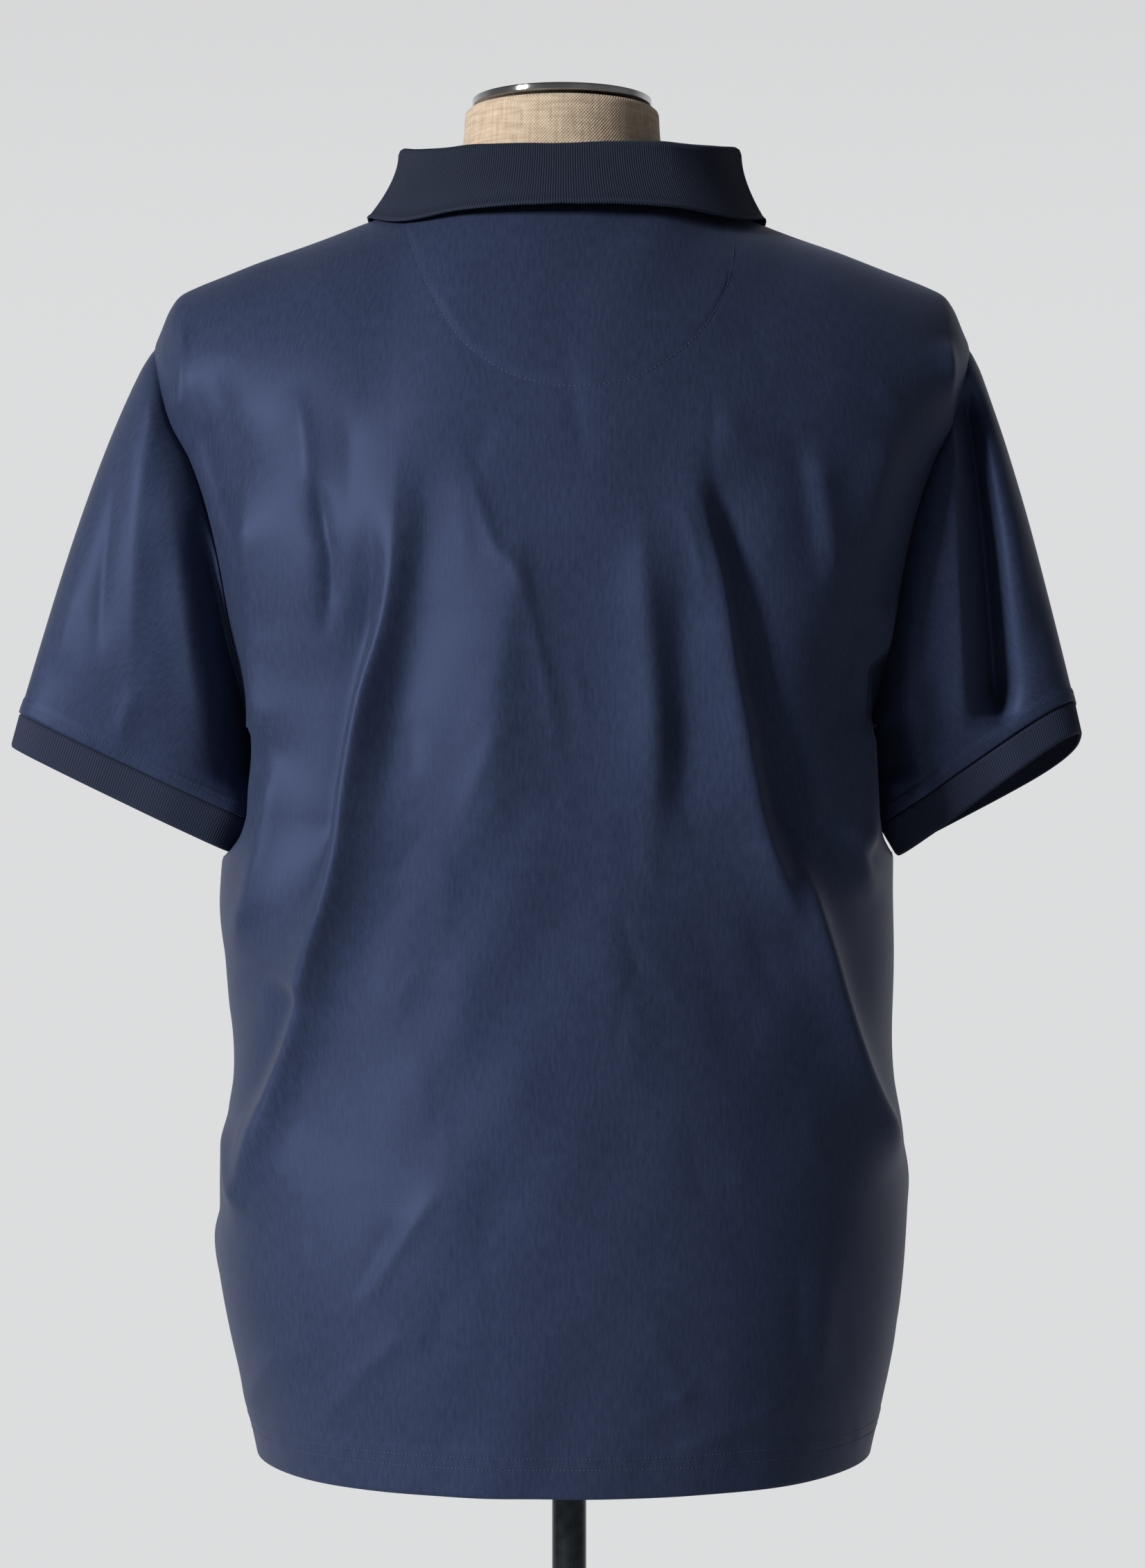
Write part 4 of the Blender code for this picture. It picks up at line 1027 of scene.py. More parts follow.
def cuffGrid(side):
    sampled = np.linspace(0.0, 2.0 * math.pi, 4000)
    length = lineLengths(cuffPoints(side, sampled, 0.0))
    ribs = int(round(length[-1] / cuff["ribPitch"]))
    columns = ribs * len(ribProfile)
    at = np.arange(columns) / columns * length[-1]
    turns = np.interp(at, length, sampled)
    share = np.linspace(0.0, 1.0, cuff["rows"] + 1)[:, None]
    allTurns = np.repeat(turns[None], len(share), axis=0)
    grid = cuffPoints(side, allTurns, share * cuff["depth"] * np.ones_like(allTurns))
    wave = sleeveWave(side, cuffPoints(side, allTurns, 0.0), allTurns)
    if side == "left":
        grid, wave = grid[:, ::-1], wave[:, ::-1]
    normals = gridNormals(grid, closed=True)
    grid[:, :, 1] += wave
    down = share * cuff["depth"]
    crown = np.tile(ribProfile, ribs)[None] * np.ones_like(down)
    hold = ease(down / cuff["ribFade"][0]) * ease((cuff["depth"] - down) / cuff["ribFade"][1])
    lift = cuff["ribHeight"] * crown * hold - cuff["tuck"] * (1.0 - ease(down / cuff["tuckFade"]))
    lift -= cuff["edgeRound"] * bell(cuff["depth"] - down, cuff["edgeWidth"])
    grid += normals * lift[:, :, None]
    # the third grain number is the rib height, which the rib finish turns into painted furrow shade and
    # crown highlight
    grain = np.stack((np.repeat(at[None], len(share), axis=0), down * np.ones_like(crown), crown), axis=2)
    return grid, grain, ribs


sleeves = {}
sleeveGrids = {}
cuffs = {}
for side in sideSign:
    grid, grain, sleeveNormals = sleeveGrid(side)
    sleeveGrids[side] = (grid, sleeveNormals)
    sleeves[side] = meshOf("sleeve_" + side + "_cloth", grid, navyJersey, grain, closed=True)
    keepPiece(sleeves[side], "sleeve_" + side)
    ribGrid, ribGrain, ribs = cuffGrid(side)
    name = "cuff_" + side + "_rib"
    cuffs[side] = meshOf(name, ribGrid, navyRib, ribGrain, closed=True, thickness=cuff["thickness"])
    keepPiece(cuffs[side], "cuff_" + side)
    print(side, "sleeve and cuff made, ribs:", ribs)


# collar

collar = {
    "ribPitch": 0.00165,
    "ribHeight": 0.00024,
    "bend": 0.0026,
    "shift": -0.005,
    "tilt": 0.0022,
    "flare": 1.7,
    "rest": 0.48,
    "thickness": 0.0013,
    "leafRows": 19,
    "bends": (35, 70, 105, 140),
    "clearAt": (0.67, 0.85, 1.0),
    "leanStep": 0.5,
    "leanRounds": 120,
    "leanBlur": 9,
    "blur": 13,
    "edgeBand": 0.0040,
    "bandGroove": 0.00035,
    "bandWidth": 0.0006,
    "edgeRound": 0.0006,
    "edgeWidth": 0.0007,
    "endFade": (0.0025, 0.0040),
    "slant": 0.0007,
    "scallop": 0.00035,
}
collarTable = tableOf(("turn", "footUp", "foldOut", "foldUp", "fall", "spread", "steep", "clear"), (
    (0, 0.0003, 0.004, 0.0319, 0.0383, 0.000, 70, 0.0040),
    (20, 0.0003, 0.004, 0.0310, 0.0404, 0.000, 70, 0.0040),
    (40, 0.0003, 0.004, 0.0303, 0.0436, 0.000, 70, 0.0040),
    (60, 0.0003, 0.005, 0.0330, 0.0466, 0.000, 70, 0.0040),
    (90, 0.0013, 0.005, 0.0378, 0.0452, 0.000, 70, 0.0046),
    (120, 0.0006, 0.004, 0.0360, 0.0540, 0.006, 72, 0.0075),
    (150, 0.0003, 0.002, 0.0320, 0.0660, 0.022, 78, 0.0075),
    (180, 0.0003, 0.001, 0.0290, 0.0760, 0.040, 82, 0.0080)))


def skinClearance(points):
    # roughly how far points stand off the shirt's shoulders
    def level(p):
        x, y, z = p[..., 0], p[..., 1], p[..., 2]
        power = section["power"](body["archFrom"])
        out = np.where(y >= 0.0, section["back"](body["archFrom"]), section["front"](body["archFrom"]))
        along = np.minimum(0.98, np.abs(x) / shoulderTable["reach"][-1])
        out = out * (1.0 - along ** power) ** (1.0 / power)
        height = (z - body["archFrom"]) / (shoulderLine(np.abs(x)) - body["archFrom"])
        return height ** 2 + (y / out) ** 2 - 1.0

    here = level(points)
    step = 0.0005
    slope = np.stack([level(points + step * np.eye(3)[k]) - here for k in range(3)], axis=-1) / step
    return here / np.maximum(np.linalg.norm(slope, axis=-1), 1e-6)


def necklineLoop():
    # from the front centre up the wearer's left side, round the back and down the right
    half = body["neckHalf"] + 1e-5
    rear = backBase[-1]
    rear = rear[np.abs(rear[:, 0]) < half]
    fore = frontBase[-1][::-1]
    fore = fore[np.abs(fore[:, 0]) < half - 1e-4]
    left = fore[fore[:, 0] > 0.0015][::-1]
    right = fore[fore[:, 0] < -0.0015][::-1]
    centre = fore[np.abs(fore[:, 0]).argmin()]
    start = np.array((0.0015, centre[1], centre[2]))
    end = np.array((-0.0015, centre[1], centre[2]))
    return np.concatenate(([start], left, rear, right, [end]))


def leafRow(place, reachOut, drop, aside, share):
    return place + share ** collar["flare"] * reachOut - share * drop + share * share * aside


def blurred(values, width):
    # an even running mean; the ends carry on as they are
    half = width // 2
    padded = np.concatenate((np.full(half, values[0]), values, np.full(half, values[-1])))
    return np.convolve(padded, np.ones(width) / width, mode="valid")


def collarColumns(line):
    # up the stand, over the fold and down the leaf, which leans out until it clears the shoulders
    curves = curvesOf(collarTable, "turn")
    reach = np.where(line[:, 1] >= 0.0, body["neckReach"]["back"], body["neckReach"]["front"])
    spin = np.arctan2(np.abs(line[:, 0]) / body["neckHalf"], line[:, 1] / reach)
    turn = np.degrees(spin)
    sign = np.where(line[:, 0] >= 0.0, 1.0, -1.0)
    now = {name: curve(turn) for name, curve in curves.items()}
    up = np.array((0.0, 0.0, 1.0))
    fold = np.stack((sign * (body["neckHalf"] + now["foldOut"]) * np.sin(spin),
                     (reach + now["foldOut"]) * np.cos(spin), line[:, 2] + now["foldUp"]), axis=1)
    outward = fold * np.array((1.0, 1.0, 0.0))
    outward /= np.linalg.norm(outward, axis=1, keepdims=True)
    fold[:, 0] += collar["shift"] * np.sin(spin)
    fold[:, 2] += np.where(sign < 0.0, collar["tilt"] * np.maximum(0.0, np.sin(2.0 * spin)), 0.0)
    foot = line + now["footUp"][:, None] * up
    aside = np.stack((sign * now["spread"], 0.0 * spin, 0.0 * spin), axis=1)
    bend = collar["bend"]
    foldOut = fold + outward * bend - up * bend
    clear = now["clear"] * collar["rest"]
    steep = now["steep"].copy()
    for step in range(collar["leanRounds"]):
        lean = np.radians(steep)
        reachOut = outward * (now["fall"] * np.cos(lean))[:, None]
        drop = up * (now["fall"] * np.sin(lean))[:, None]
        stands = [skinClearance(leafRow(foldOut, reachOut, drop, aside, s)) for s in collar["clearAt"]]
        low = np.min(stands, axis=0) < clear
        if not low.any():
            break
        steep = np.where(low, steep - collar["leanStep"], steep)
    lean = np.radians(np.minimum(steep, blurred(steep, collar["leanBlur"])))
    reachOut = outward * (now["fall"] * np.cos(lean))[:, None]
    drop = up * (now["fall"] * np.sin(lean))[:, None]
    foldIn = fold - outward * bend - up * bend
    rows = [foot, 0.5 * (foot + foldIn), foldIn]
    for angle in np.radians(collar["bends"]):
        rows.append(fold - up * bend + (-outward * math.cos(angle) + up * math.sin(angle)) * bend)
    for s in np.linspace(0.0, 1.0, collar["leafRows"]):
        rows.append(leafRow(foldOut, reachOut, drop, aside, s))
    return np.stack(rows)


def resampleColumns(grid, columns):
    # a dense, smooth set of columns at even steps along the leaf's edge
    length = lineLengths(grid[-1])
    at = np.linspace(0.0, length[-1], columns)
    out = np.stack([pointsAt(at, length, row) for row in grid])
    width = collar["blur"]
    side = width // 2
    for i in range(1, grid.shape[0]):
        for k in range(3):
            row = out[i, :, k]
            before = 2 * row[0] - row[side:0:-1]
            after = 2 * row[-1] - row[-2:-2 - side:-1]
            padded = np.concatenate((before, row, after))
            out[i, :, k] = np.convolve(padded, np.ones(width) / width, mode="valid")
    return out, at


def ribbedCollar():
    columns = collarColumns(necklineLoop())
    ribs = int(round(lineLengths(columns[-1])[-1] / collar["ribPitch"]))
    grid, at = resampleColumns(columns, ribs * len(ribProfile) + 1)
    normals = gridNormals(grid)
    rib = ribProfile[np.arange(grid.shape[1]) % len(ribProfile)]
    fromEdge = arcLengths(grid, 0)
    fromEdge = fromEdge[-1:] - fromEdge
    side = np.minimum(at, at[-1] - at)[None]
    crown = np.repeat(rib[None], grid.shape[0], axis=0)
    hold = ease(side / collar["endFade"][0]) * np.ones_like(fromEdge)
    lift = collar["ribHeight"] * crown * hold
    band = collar["edgeBand"]
    lift -= collar["bandGroove"] * bell(fromEdge - band, collar["bandWidth"])
    lift -= collar["edgeRound"] * bell(fromEdge, collar["edgeWidth"])
    grid = grid + normals * lift[:, :, None]
    slant = collar["slant"] * np.clip(1.0 - fromEdge / band, 0.0, 1.0)
    step = np.gradient(grid, axis=1)
    step /= np.linalg.norm(step, axis=2, keepdims=True)
    grid += step * (slant * ease(side / collar["endFade"][1]))[:, :, None]
    scallop = collar["scallop"] * (crown - 0.5) * (fromEdge < 0.0002)
    grid[:, :, 2] -= scallop * hold
    # the third grain number is the rib height, which the rib finish turns into painted furrow shade and
    # crown highlight
    grain = np.stack((np.repeat(at[None], grid.shape[0], axis=0), fromEdge, crown), axis=2)
    return grid, grain, ribs


collarPoints, collarGrain, collarRibs = ribbedCollar()
collarPiece = meshOf("collarRib", collarPoints, navyRib, collarGrain, thickness=collar["thickness"])
keepPiece(collarPiece, "collar")
print("collar made, ribs:", collarRibs)


# placket strips, laid in the front's slit from its own centre columns

placket = {
    "columns": 24,
    "half": 0.0160,
    "lift": 0.0016,
    "edge": 0.0009,
    "tuck": 0.0012,
    "edgeLift": 0.0002,
    "seamIn": 0.0022,
    "groove": 0.00025,
    "grooveWidth": 0.0008,
    "boxUp": 0.0230,
}


def stripGrid(half, lift, below):
    # the front's centre columns resampled evenly, from a little below the slit to the neckline
    rows = frontGrid[slitRow - below:]
    normals = gridNormals(frontGrid)[slitRow - below:]
    raised = 1.0 if lift > 0.0 else 0.0
    acrossX = np.linspace(-half, half, placket["columns"] + 1)
    grid = np.stack([pointsAt(acrossX, row[:, 0], row) for row in rows])
    facing = np.stack([pointsAt(acrossX, row[:, 0], normal) for row, normal in zip(rows, normals)])
    toEdge = (half - np.abs(acrossX))[None] * np.ones((len(rows), 1))
    fromEnd = arcLengths(grid, 0)
    toEnd = fromEnd[-1:] - fromEnd
    drop = bell(toEdge, placket["edge"]) + bell(fromEnd, placket["edge"])
    seam = placket["groove"] * bell(toEdge - placket["seamIn"], placket["grooveWidth"])
    rise = lift - (lift - placket["edgeLift"]) * 0.5 * np.minimum(1.0, drop) - seam * raised
    grid += facing * rise[:, :, None]
    tuck = grid[-2] - grid[-1]
    tuck /= np.linalg.norm(tuck, axis=1, keepdims=True)
    grid[-1] += tuck * placket["tuck"] * raised
    grain = np.stack((acrossX[None] + np.zeros_like(toEdge), toEnd, np.zeros_like(toEdge)), axis=2)
    return grid, grain, facing


underGrid, underGrain = stripGrid(placket["half"], 0.0, 0)[:2]
upperGrid, upperGrain, upperFacing = stripGrid(placket["half"], placket["lift"], 1)
underStrip = meshOf("placketUnderStrip", underGrid, navyJersey, underGrain, thickness=body["thickness"])
upperStrip = meshOf("placketUpperStrip", upperGrid, navyJersey, upperGrain, thickness=body["thickness"])
keepPiece(underStrip, "placket_under")
keepPiece(upperStrip, "placket_upper")
print("placket strips made")


# rows of stitches: short capped threads with a dark disc at each end, painted shade standing for the needle
# hole

stitch = {
    "sides": 6,
    "radius": 0.00021,
    "share": 0.80,
    "sink": 0.00008,
    "arch": 0.00020,
    "flat": 0.8,
    "look": 0.0004,
    "holeRadius": 0.00030,
    "holeSides": 6,
    "holeLift": 0.00006,
    "profile": ((-1.0, 0.15), (-0.80, 0.75), (-0.35, 1.0), (0.35, 1.0), (0.80, 0.75), (1.0, 0.15)),
}


class ThreadWork:
    # collects the stitches of one seam, then makes one mesh of threads and one of dark discs that paint the
    # needle holes' shade
    def __init__(self):
        self.verts = []
        self.faces = []
        self.holeVerts = []
        self.holeFaces = []

    def addStitch(self, place, along, normal, length, radius):
        side = along.cross(normal).normalized()
        start = len(self.verts)
        sides = stitch["sides"]
        for t, width in stitch["profile"]:
            rise = stitch["arch"] * (1.0 - t * t) - stitch["sink"]
            centre = place + along * (0.5 * length * t) + normal * rise
            for k in range(sides):
                spin = 2.0 * math.pi * k / sides
                way = side * math.cos(spin) + normal * (stitch["flat"] * math.sin(spin))
                self.verts.append(centre + way * radius * width)
        rings = len(stitch["profile"])
        for i in range(rings - 1):
            for k in range(sides):
                n = (k + 1) % sides
                a, b = start + i * sides, start + (i + 1) * sides
                self.faces.append((a + k, a + n, b + n, b + k))
        self.faces.append(tuple(start + k for k in reversed(range(sides))))
        self.faces.append(tuple(start + (rings - 1) * sides + k for k in range(sides)))

    def addHole(self, place, along, normal):
        side = along.cross(normal).normalized()
        start = len(self.holeVerts)
        for k in range(stitch["holeSides"]):
            spin = 2.0 * math.pi * k / stitch["holeSides"]
            way = side * math.cos(spin) + along * math.sin(spin)
            self.holeVerts.append(place + normal * stitch["holeLift"] + way * stitch["holeRadius"])
        self.holeFaces.append(tuple(start + k for k in range(stitch["holeSides"])))

    def sew(self, points, normals, pitch, radius=stitch["radius"]):
        # stitches along a line of points, with a dark disc of painted hole shade at every needle place
        length = lineLengths(points)
        count = int(length[-1] / pitch)
        ends = (length[-1] - count * pitch) * 0.5 + np.arange(count + 1) * pitch
        middles = 0.5 * (ends[1:] + ends[:-1])
        for places, work in ((middles, "thread"), (ends, "hole")):
            spots = pointsAt(places, length, points)
            ahead = pointsAt(places + stitch["look"], length, points)
            behind = pointsAt(places - stitch["look"], length, points)
            facing = pointsAt(places, length, normals)
            for spot, front, rear, out in zip(spots, ahead, behind, facing):
                along = Vector(front - rear).normalized()
                normal = Vector(out).normalized()
                if work == "thread":
                    self.addStitch(Vector(spot), along, normal, pitch * stitch["share"], radius)
                else:
                    self.addHole(Vector(spot), along, normal)

    def finish(self, name):
        threads = newPiece(name + "Stitches", self.verts, self.faces, navyThread)
        holes = newPiece(name + "NeedleHoleShade", self.holeVerts, self.holeFaces, needleHoleShade)
        keepPiece(threads, None)
        keepPiece(holes, None)
        facesEach = stitch["sides"] * (len(stitch["profile"]) - 1) + 2
        print(name, "stitches:", len(self.faces) // facesEach)


def rowAt(grid, normals, heights, height):
    # the line across a grid where its rows reach the given height
    k = int(np.searchsorted(heights, height)) - 1
    t = (height - heights[k]) / (heights[k + 1] - heights[k])
    return grid[k] + (grid[k + 1] - grid[k]) * t, normals[k] + (normals[k + 1] - normals[k]) * t


hemWork = ThreadWork()
for panel, base in ((backGrid, backBase), (frontGrid, frontBase)):
    normals = gridNormals(panel)
    for height in hem["rows"]:
        line, facing = rowAt(panel, normals, base[:, centreColumn, 2], body["hem"] + height)
        hemWork.sew(line, facing, hem["pitch"])
hemWork.finish("hem")

cuffWork = ThreadWork()
for side in sideSign:
    grid, normals = sleeveGrids[side]
    grid, normals = grid[:sleeve["rows"] + 1], normals[:sleeve["rows"] + 1]
    fromCuff = arcLengths(grid[::-1], 0)[::-1]
    line = np.empty((grid.shape[1], 3))
    facing = np.empty_like(line)
    for j in range(grid.shape[1]):
        line[j] = pointsAt([sleeve["stitchRow"]], fromCuff[::-1, j], grid[::-1, j])[0]
        facing[j] = pointsAt([sleeve["stitchRow"]], fromCuff[::-1, j], normals[::-1, j])[0]
    outward = facing * np.sign((facing[:, 1] * (line[:, 1] - line[:, 1].mean())).sum())
    line = np.concatenate((line, line[:1]))
    outward = np.concatenate((outward, outward[:1]))
    cuffWork.sew(line, outward, sleeve["stitchPitch"])
cuffWork.finish("cuffSeam")

moonWork = ThreadWork()
upper = backGrid[underRow + body["scoopRows"]:]
index = np.arange(upper.shape[0] * upper.shape[1]).reshape(upper.shape[:2])
corners = (index[:-1, :-1], index[:-1, 1:], index[1:, 1:], index[1:, :-1])
quads = np.stack(corners, axis=2).reshape(-1, 4)
skinTree = BVHTree.FromPolygons(upper.reshape(-1, 3).tolist(), quads.tolist())
moonLine = []
moonFacing = []
for x, z in smoothPath(halfMoon["path"], 400):
    spot, normal, face, distance = skinTree.ray_cast(Vector((x, 0.5, z)), Vector((0.0, -1.0, 0.0)))
    moonLine.append(tuple(spot))
    moonFacing.append(tuple(normal if normal.y > 0.0 else -normal))
moonWork.sew(np.array(moonLine), np.array(moonFacing), halfMoon["pitch"], halfMoon["threadRadius"])
moonWork.finish("halfMoon")

placketWork = ThreadWork()
inset = placket["seamIn"] / (2.0 * placket["half"]) * placket["columns"]
low, high = inset, placket["columns"] - inset
boxRow = int(np.searchsorted(upperGrain[0, 0, 1] - upperGrain[:, 0, 1], placket["boxUp"]))


def upperAt(row, column):
    j = int(column)
    t = column - j
    return (upperGrid[row, j] + (upperGrid[row, j + 1] - upperGrid[row, j]) * t,
            upperFacing[row, j] + (upperFacing[row, j + 1] - upperFacing[row, j]) * t)


for column in (low, high):
    line, facing = zip(*(upperAt(row, column) for row in range(1, len(upperGrid) - 1)))
    placketWork.sew(np.array(line), np.array(facing), hem["pitch"])
for row in (1, boxRow):
    line, facing = zip(*(upperAt(row, column) for column in np.linspace(low, high, 20)))
    placketWork.sew(np.array(line), np.array(facing), hem["pitch"])
placketWork.finish("placket")

buttonThread = {
    "rise": 0.00075,
    "length": 0.0028,
    "radius": 0.00026,
    "holeDrop": 0.0004,
    "leans": (40.0, 130.0),
}
buttonWork = ThreadWork()
for k in (1, 2, 3):
    low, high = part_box("button_" + str(k))
    centre = 0.5 * (Vector(low) + Vector(high)) - Vector((body["shiftX"], 0.0, 0.0))
    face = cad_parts["button_" + str(k)]
    flat = max(face.data.polygons, key=lambda polygon: polygon.area)
    normal = Vector(flat.normal)
    normal = normal if normal.y < 0.0 else -normal
    sideways = normal.cross(Vector((0.0, 0.0, 1.0))).normalized()
    upward = sideways.cross(normal).normalized()
    for lean in buttonThread["leans"]:
        along = sideways * math.cos(math.radians(lean)) + upward * math.sin(math.radians(lean))
        buttonWork.addStitch(centre + normal * buttonThread["rise"], along, normal, buttonThread["length"],
                             buttonThread["radius"])
        # a dark disc under the threads paints the shade of the button's holes
        buttonWork.addHole(centre - normal * buttonThread["holeDrop"], along, normal)
buttonWork.finish("button")


# dress form, neck cap and stand

form = {
    "sides": 128,
    "rings": 170,
    "shoulderGap": 0.0002,
    "neckFrom": 1.53,
    "neckGrain": 0.064,
    "bodyGrain": 0.160,
    "ends": (0.08, 0.35, 0.70),
}
torsoTable = tableOf(("height", "halfWidth", "back", "front", "power"), (
    (0.835, 0.1480, 0.106, 0.098, 2.2),
    (0.840, 0.1540, 0.112, 0.104, 2.2),
    (0.870, 0.1640, 0.122, 0.112, 2.2),
    (0.930, 0.1700, 0.126, 0.114, 2.2),
    (1.050, 0.1640, 0.118, 0.112, 2.2),
    (1.170, 0.1680, 0.124, 0.116, 2.3),
    (1.260, 0.1800, 0.128, 0.116, 2.4),
    (1.340, 0.1930, 0.124, 0.106, 2.4),
    (1.400, 0.2120, 0.108, 0.090, 2.3),
    (1.440, 0.2270, 0.078, 0.064, 2.1),
    (1.460, 0.2330, 0.060, 0.048, 2.0)))
formShoulderTable = tableOf(("reach", "drop", "back", "front"), (
    (0.2350, 0.0022, 0.045, 0.036),
    (0.2200, 0.0021, 0.042, 0.035),
    (0.2000, 0.0021, 0.042, 0.036),
    (0.1700, 0.0021, 0.046, 0.040),
    (0.1450, 0.0022, 0.050, 0.044),
    (0.1150, 0.0045, 0.055, 0.050),
    (0.0900, 0.0090, 0.058, 0.055)))
formNeckTable = tableOf(("height", "halfWidth", "back", "front", "power"), (
    (1.5400, 0.0740, 0.0600, 0.0580, 2.0),
    (1.5560, 0.0665, 0.0600, 0.0585, 2.0),
    (1.5750, 0.0622, 0.0600, 0.0590, 2.0),
    (1.5895, 0.0612, 0.0595, 0.0590, 2.0),
    (1.5925, 0.0585, 0.0570, 0.0565, 2.0)))


def linenForm():
    reach = formShoulderTable["reach"]
    shoulders = {"height": shoulderLine(reach) - formShoulderTable["drop"] - form["shoulderGap"],
                 "halfWidth": reach, "back": formShoulderTable["back"], "front": formShoulderTable["front"],
                 "power": np.full(len(reach), 2.0)}
    tables = (torsoTable, shoulders, formNeckTable)
    rings = {name: np.concatenate([table[name] for table in tables]) for name in torsoTable}
    rings["order"] = np.arange(len(rings["height"]), dtype=float)
    curves = curvesOf(rings, "order")
    at = np.linspace(0.0, rings["order"][-1], form["rings"])
    now = {name: curve(at)[:, None] for name, curve in curves.items()}
    spin = 2.0 * math.pi * np.arange(form["sides"])[None] / form["sides"]
    grip = 2.0 / now["power"]
    depth = np.where(np.sin(spin) >= -1e-9, now["back"], now["front"])
    x = now["halfWidth"] * signedPower(np.cos(spin), grip)
    y = depth * signedPower(np.sin(spin), grip)
    z = now["height"] + 0.0 * x
    grid = np.stack((x, y, z), axis=2)
    wide = np.where(z > form["neckFrom"], form["neckGrain"], form["bodyGrain"])
    grain = np.stack((wide * (spin - 0.5 * math.pi) * np.ones_like(z), z, 0.0 * z), axis=2)
    axis = np.array((0.0, 0.0, 1.0))
    bottom = np.concatenate([grid[:1] * (axis + (1.0 - axis) * s) for s in form["ends"]])
    top = np.concatenate([grid[-1:] * (axis + (1.0 - axis) * s) for s in form["ends"][::-1]])
    grid = np.concatenate((bottom, grid, top))
    grain = np.concatenate((bottom, grain, top))
    return grid, grain


formPoints, formGrain = linenForm()
linenPiece = meshOf("linenForm", formPoints, naturalLinen, formGrain, closed=True)
keepPiece(linenPiece, "dress_form")

neckCap = {
    "sides": 160,
    "seat": 0.0460,
    "radius": 0.0568,
    "from": 1.5928,
    "bottom": 1.5950,
    "top": 1.5995,
    "round": 0.0010,
    "middle": 0.0003,
    "flat": 0.030,
    "dish": 0.0002,
    "step": 0.0004,
    "rim": (0.004, 0.006),
}


def turnedRows(profile, sides):
    spin = -2.0 * math.pi * np.arange(sides) / sides
    return np.stack([np.stack((radius * np.cos(spin), radius * np.sin(spin), height + 0.0 * spin), axis=1)
                     for radius, height in profile])[:, ::-1]


def capProfile():
    # from the middle of the underside, round the rim, to the middle of the top
    r, edge, low, high = neckCap["radius"], neckCap["round"], neckCap["bottom"], neckCap["top"]
    seat, start, step, rim = neckCap["seat"], neckCap["from"], neckCap["step"], neckCap["rim"]
    rows = [(neckCap["middle"], start), (neckCap["flat"], start), (seat, start),
            (seat, low - step), (seat + step, low), (r - edge - rim[0], low)]
    quarter = 0.5 * math.pi * np.arange(7) / 6
    rows += [(r - edge + edge * math.sin(a), low + edge - edge * math.cos(a)) for a in quarter]
    rows += [(r - edge + edge * math.cos(a), high - edge + edge * math.sin(a)) for a in quarter]
    dish = high - neckCap["dish"]
    return rows + [(r - rim[1], high), (neckCap["flat"], dish), (neckCap["middle"], dish)]


capRows = turnedRows(capProfile(), neckCap["sides"])
capPiece = meshOf("chromeCap", capRows, polishedChrome, closed=True)
keepPiece(capPiece, "neck_cap")

for node, finish in (("pole", darkMetal), ("base", darkMetal), ("button_1", navyButton),
                     ("button_2", navyButton), ("button_3", navyButton)):
    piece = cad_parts[node]
    piece.data.materials.clear()
    piece.data.materials.append(finish)
print("form, cap and stand finished")


# floor, light and camera

studio = {
    "floorRadius": 2.3,
    "floorTone": (0.70, 0.70, 0.71),
    "floorDrop": 0.0005,
    "floorSides": 96,
    "sky": (0.985, 0.99, 1.0),
    "backdrop": 0.73,
    "around": 0.20,
    "overhead": 0.35,
    "turnFrom": (-0.80, -0.15),
    "dimFrom": (0.10, 0.80),
    "keyPower": 335.0,
    "keySize": (0.9, 1.4),
    "keyPlace": (3.85, 3.00, 2.7),
    "aim": (0.0, 0.05, 1.15),
    "lens": 77.5,
    "camera": (-0.0021, 2.14, 1.166),
}


def sweep(nodes, links, value, between, toLow, toHigh):
    # a soft change between two strengths along one direction of the surroundings
    ranged = nodes.new("ShaderNodeMapRange")
    ranged.interpolation_type = "SMOOTHSTEP"
    numbers = {"From Min": between[0], "From Max": between[1], "To Min": toLow, "To Max": toHigh}
    for place, number in numbers.items():
        ranged.inputs[place].default_value = number
    links.new(value, ranged.inputs["Value"])
    return ranged.outputs[0]


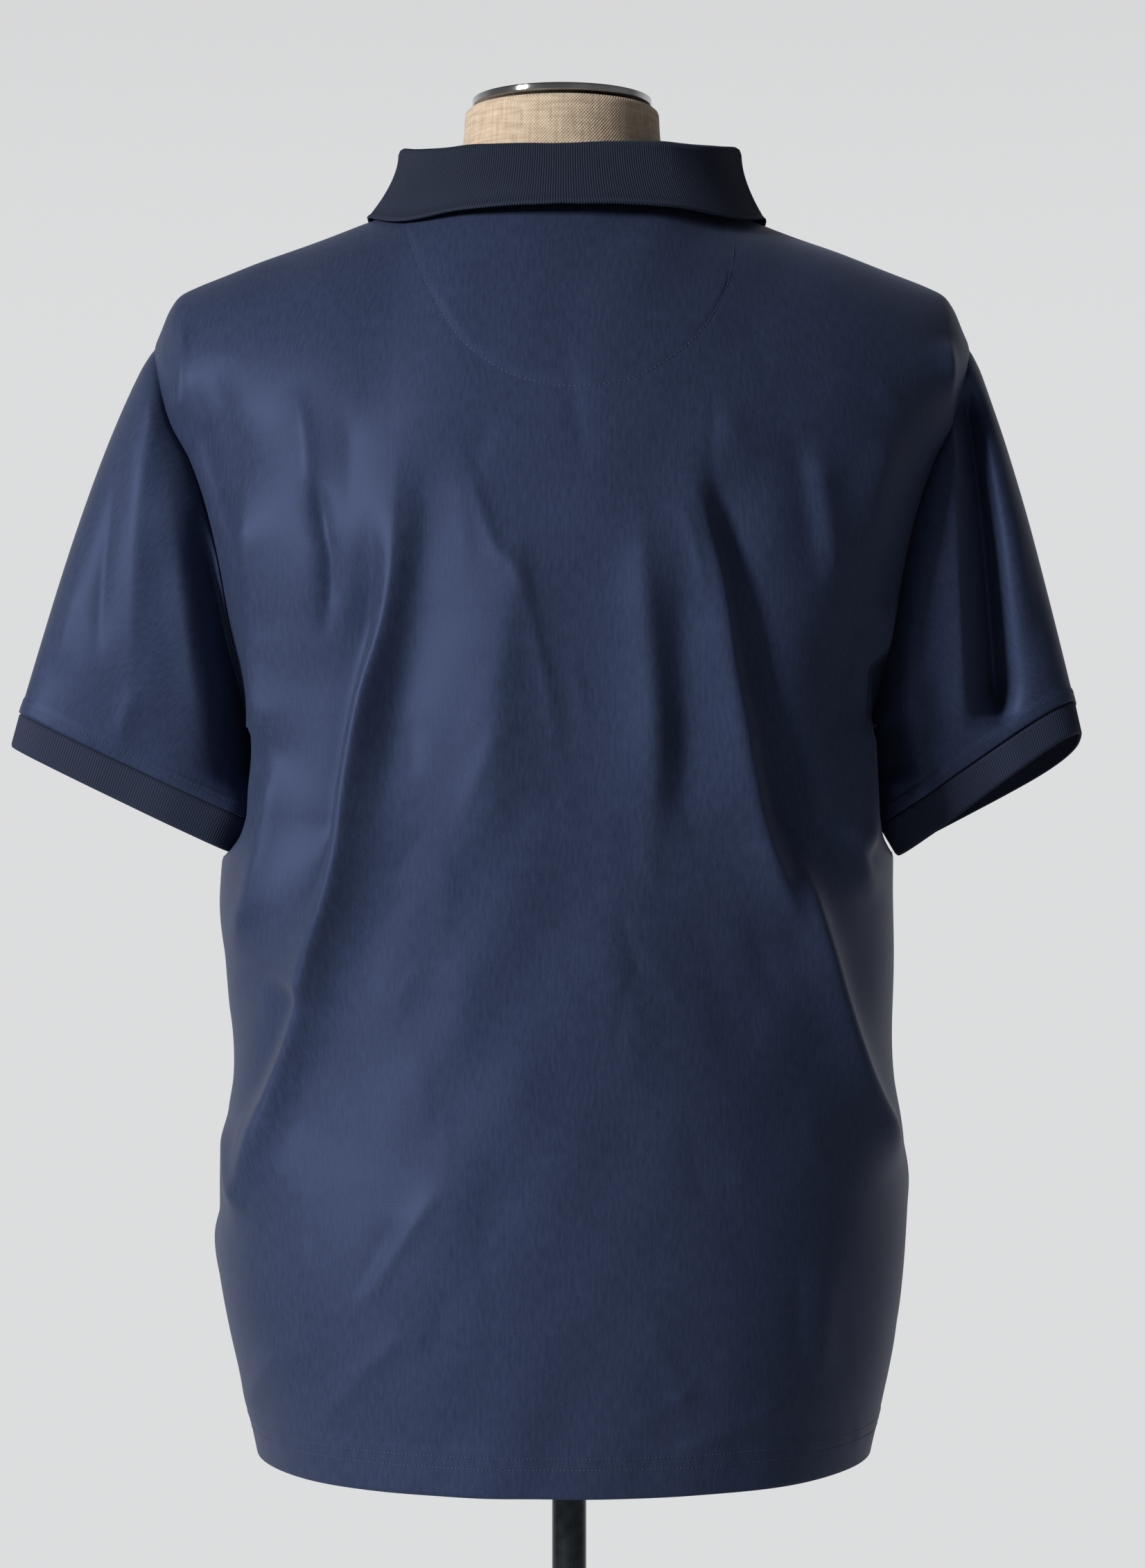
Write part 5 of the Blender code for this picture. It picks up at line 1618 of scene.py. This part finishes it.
def paleFloor():
    turns = 2.0 * math.pi * np.arange(studio["floorSides"]) / studio["floorSides"]
    ring = [(studio["floorRadius"] * math.cos(a), studio["floorRadius"] * math.sin(a), -studio["floorDrop"])
            for a in turns]
    mesh = bpy.data.meshes.new("floor")
    mesh.from_pydata(ring, [], [tuple(range(len(ring)))])
    finish = Finish("paleFloor")
    finish.hold({"Base Color": (*studio["floorTone"], 1.0), "Roughness": 0.9})
    mesh.materials.append(finish.material)
    floor = bpy.data.objects.new("floor", mesh)
    bpy.context.scene.collection.objects.link(floor)


def softSurroundings():
    # bright behind the form for the backdrop, dimmer round the camera's side and overhead
    world = bpy.data.worlds.new("studio")
    bpy.context.scene.world = world
    world.use_nodes = True
    nodes, links = world.node_tree.nodes, world.node_tree.links
    split = nodes.new("ShaderNodeSeparateXYZ")
    links.new(nodes.new("ShaderNodeTexCoord").outputs["Generated"], split.inputs[0])
    turn = (studio["turnFrom"], studio["backdrop"], studio["around"])
    spread = sweep(nodes, links, split.outputs["Y"], *turn)
    dim = sweep(nodes, links, split.outputs["Z"], studio["dimFrom"], 1.0, studio["overhead"])
    both = nodes.new("ShaderNodeMath")
    both.operation = "MULTIPLY"
    links.new(spread, both.inputs[0])
    links.new(dim, both.inputs[1])
    background = nodes["Background"]
    background.inputs["Color"].default_value = (*studio["sky"], 1.0)
    links.new(both.outputs[0], background.inputs["Strength"])


def keyLight():
    light = bpy.data.lights.new("key", "AREA")
    light.shape = "RECTANGLE"
    light.size, light.size_y = studio["keySize"]
    light.energy = studio["keyPower"]
    lamp = bpy.data.objects.new("key", light)
    lamp.location = studio["keyPlace"]
    towards = Vector(studio["aim"]) - Vector(studio["keyPlace"])
    lamp.rotation_euler = towards.to_track_quat("-Z", "Y").to_euler()
    bpy.context.scene.collection.objects.link(lamp)


def levelCamera():
    lens = bpy.data.cameras.new("camera")
    lens.lens = studio["lens"]
    lens.sensor_width = 36.0
    camera = bpy.data.objects.new("camera", lens)
    camera.location = studio["camera"]
    camera.rotation_euler = (math.radians(90.0), 0.0, math.radians(180.0))
    bpy.context.scene.collection.objects.link(camera)
    bpy.context.scene.camera = camera


paleFloor()
softSurroundings()
keyLight()
levelCamera()
print("studio set")
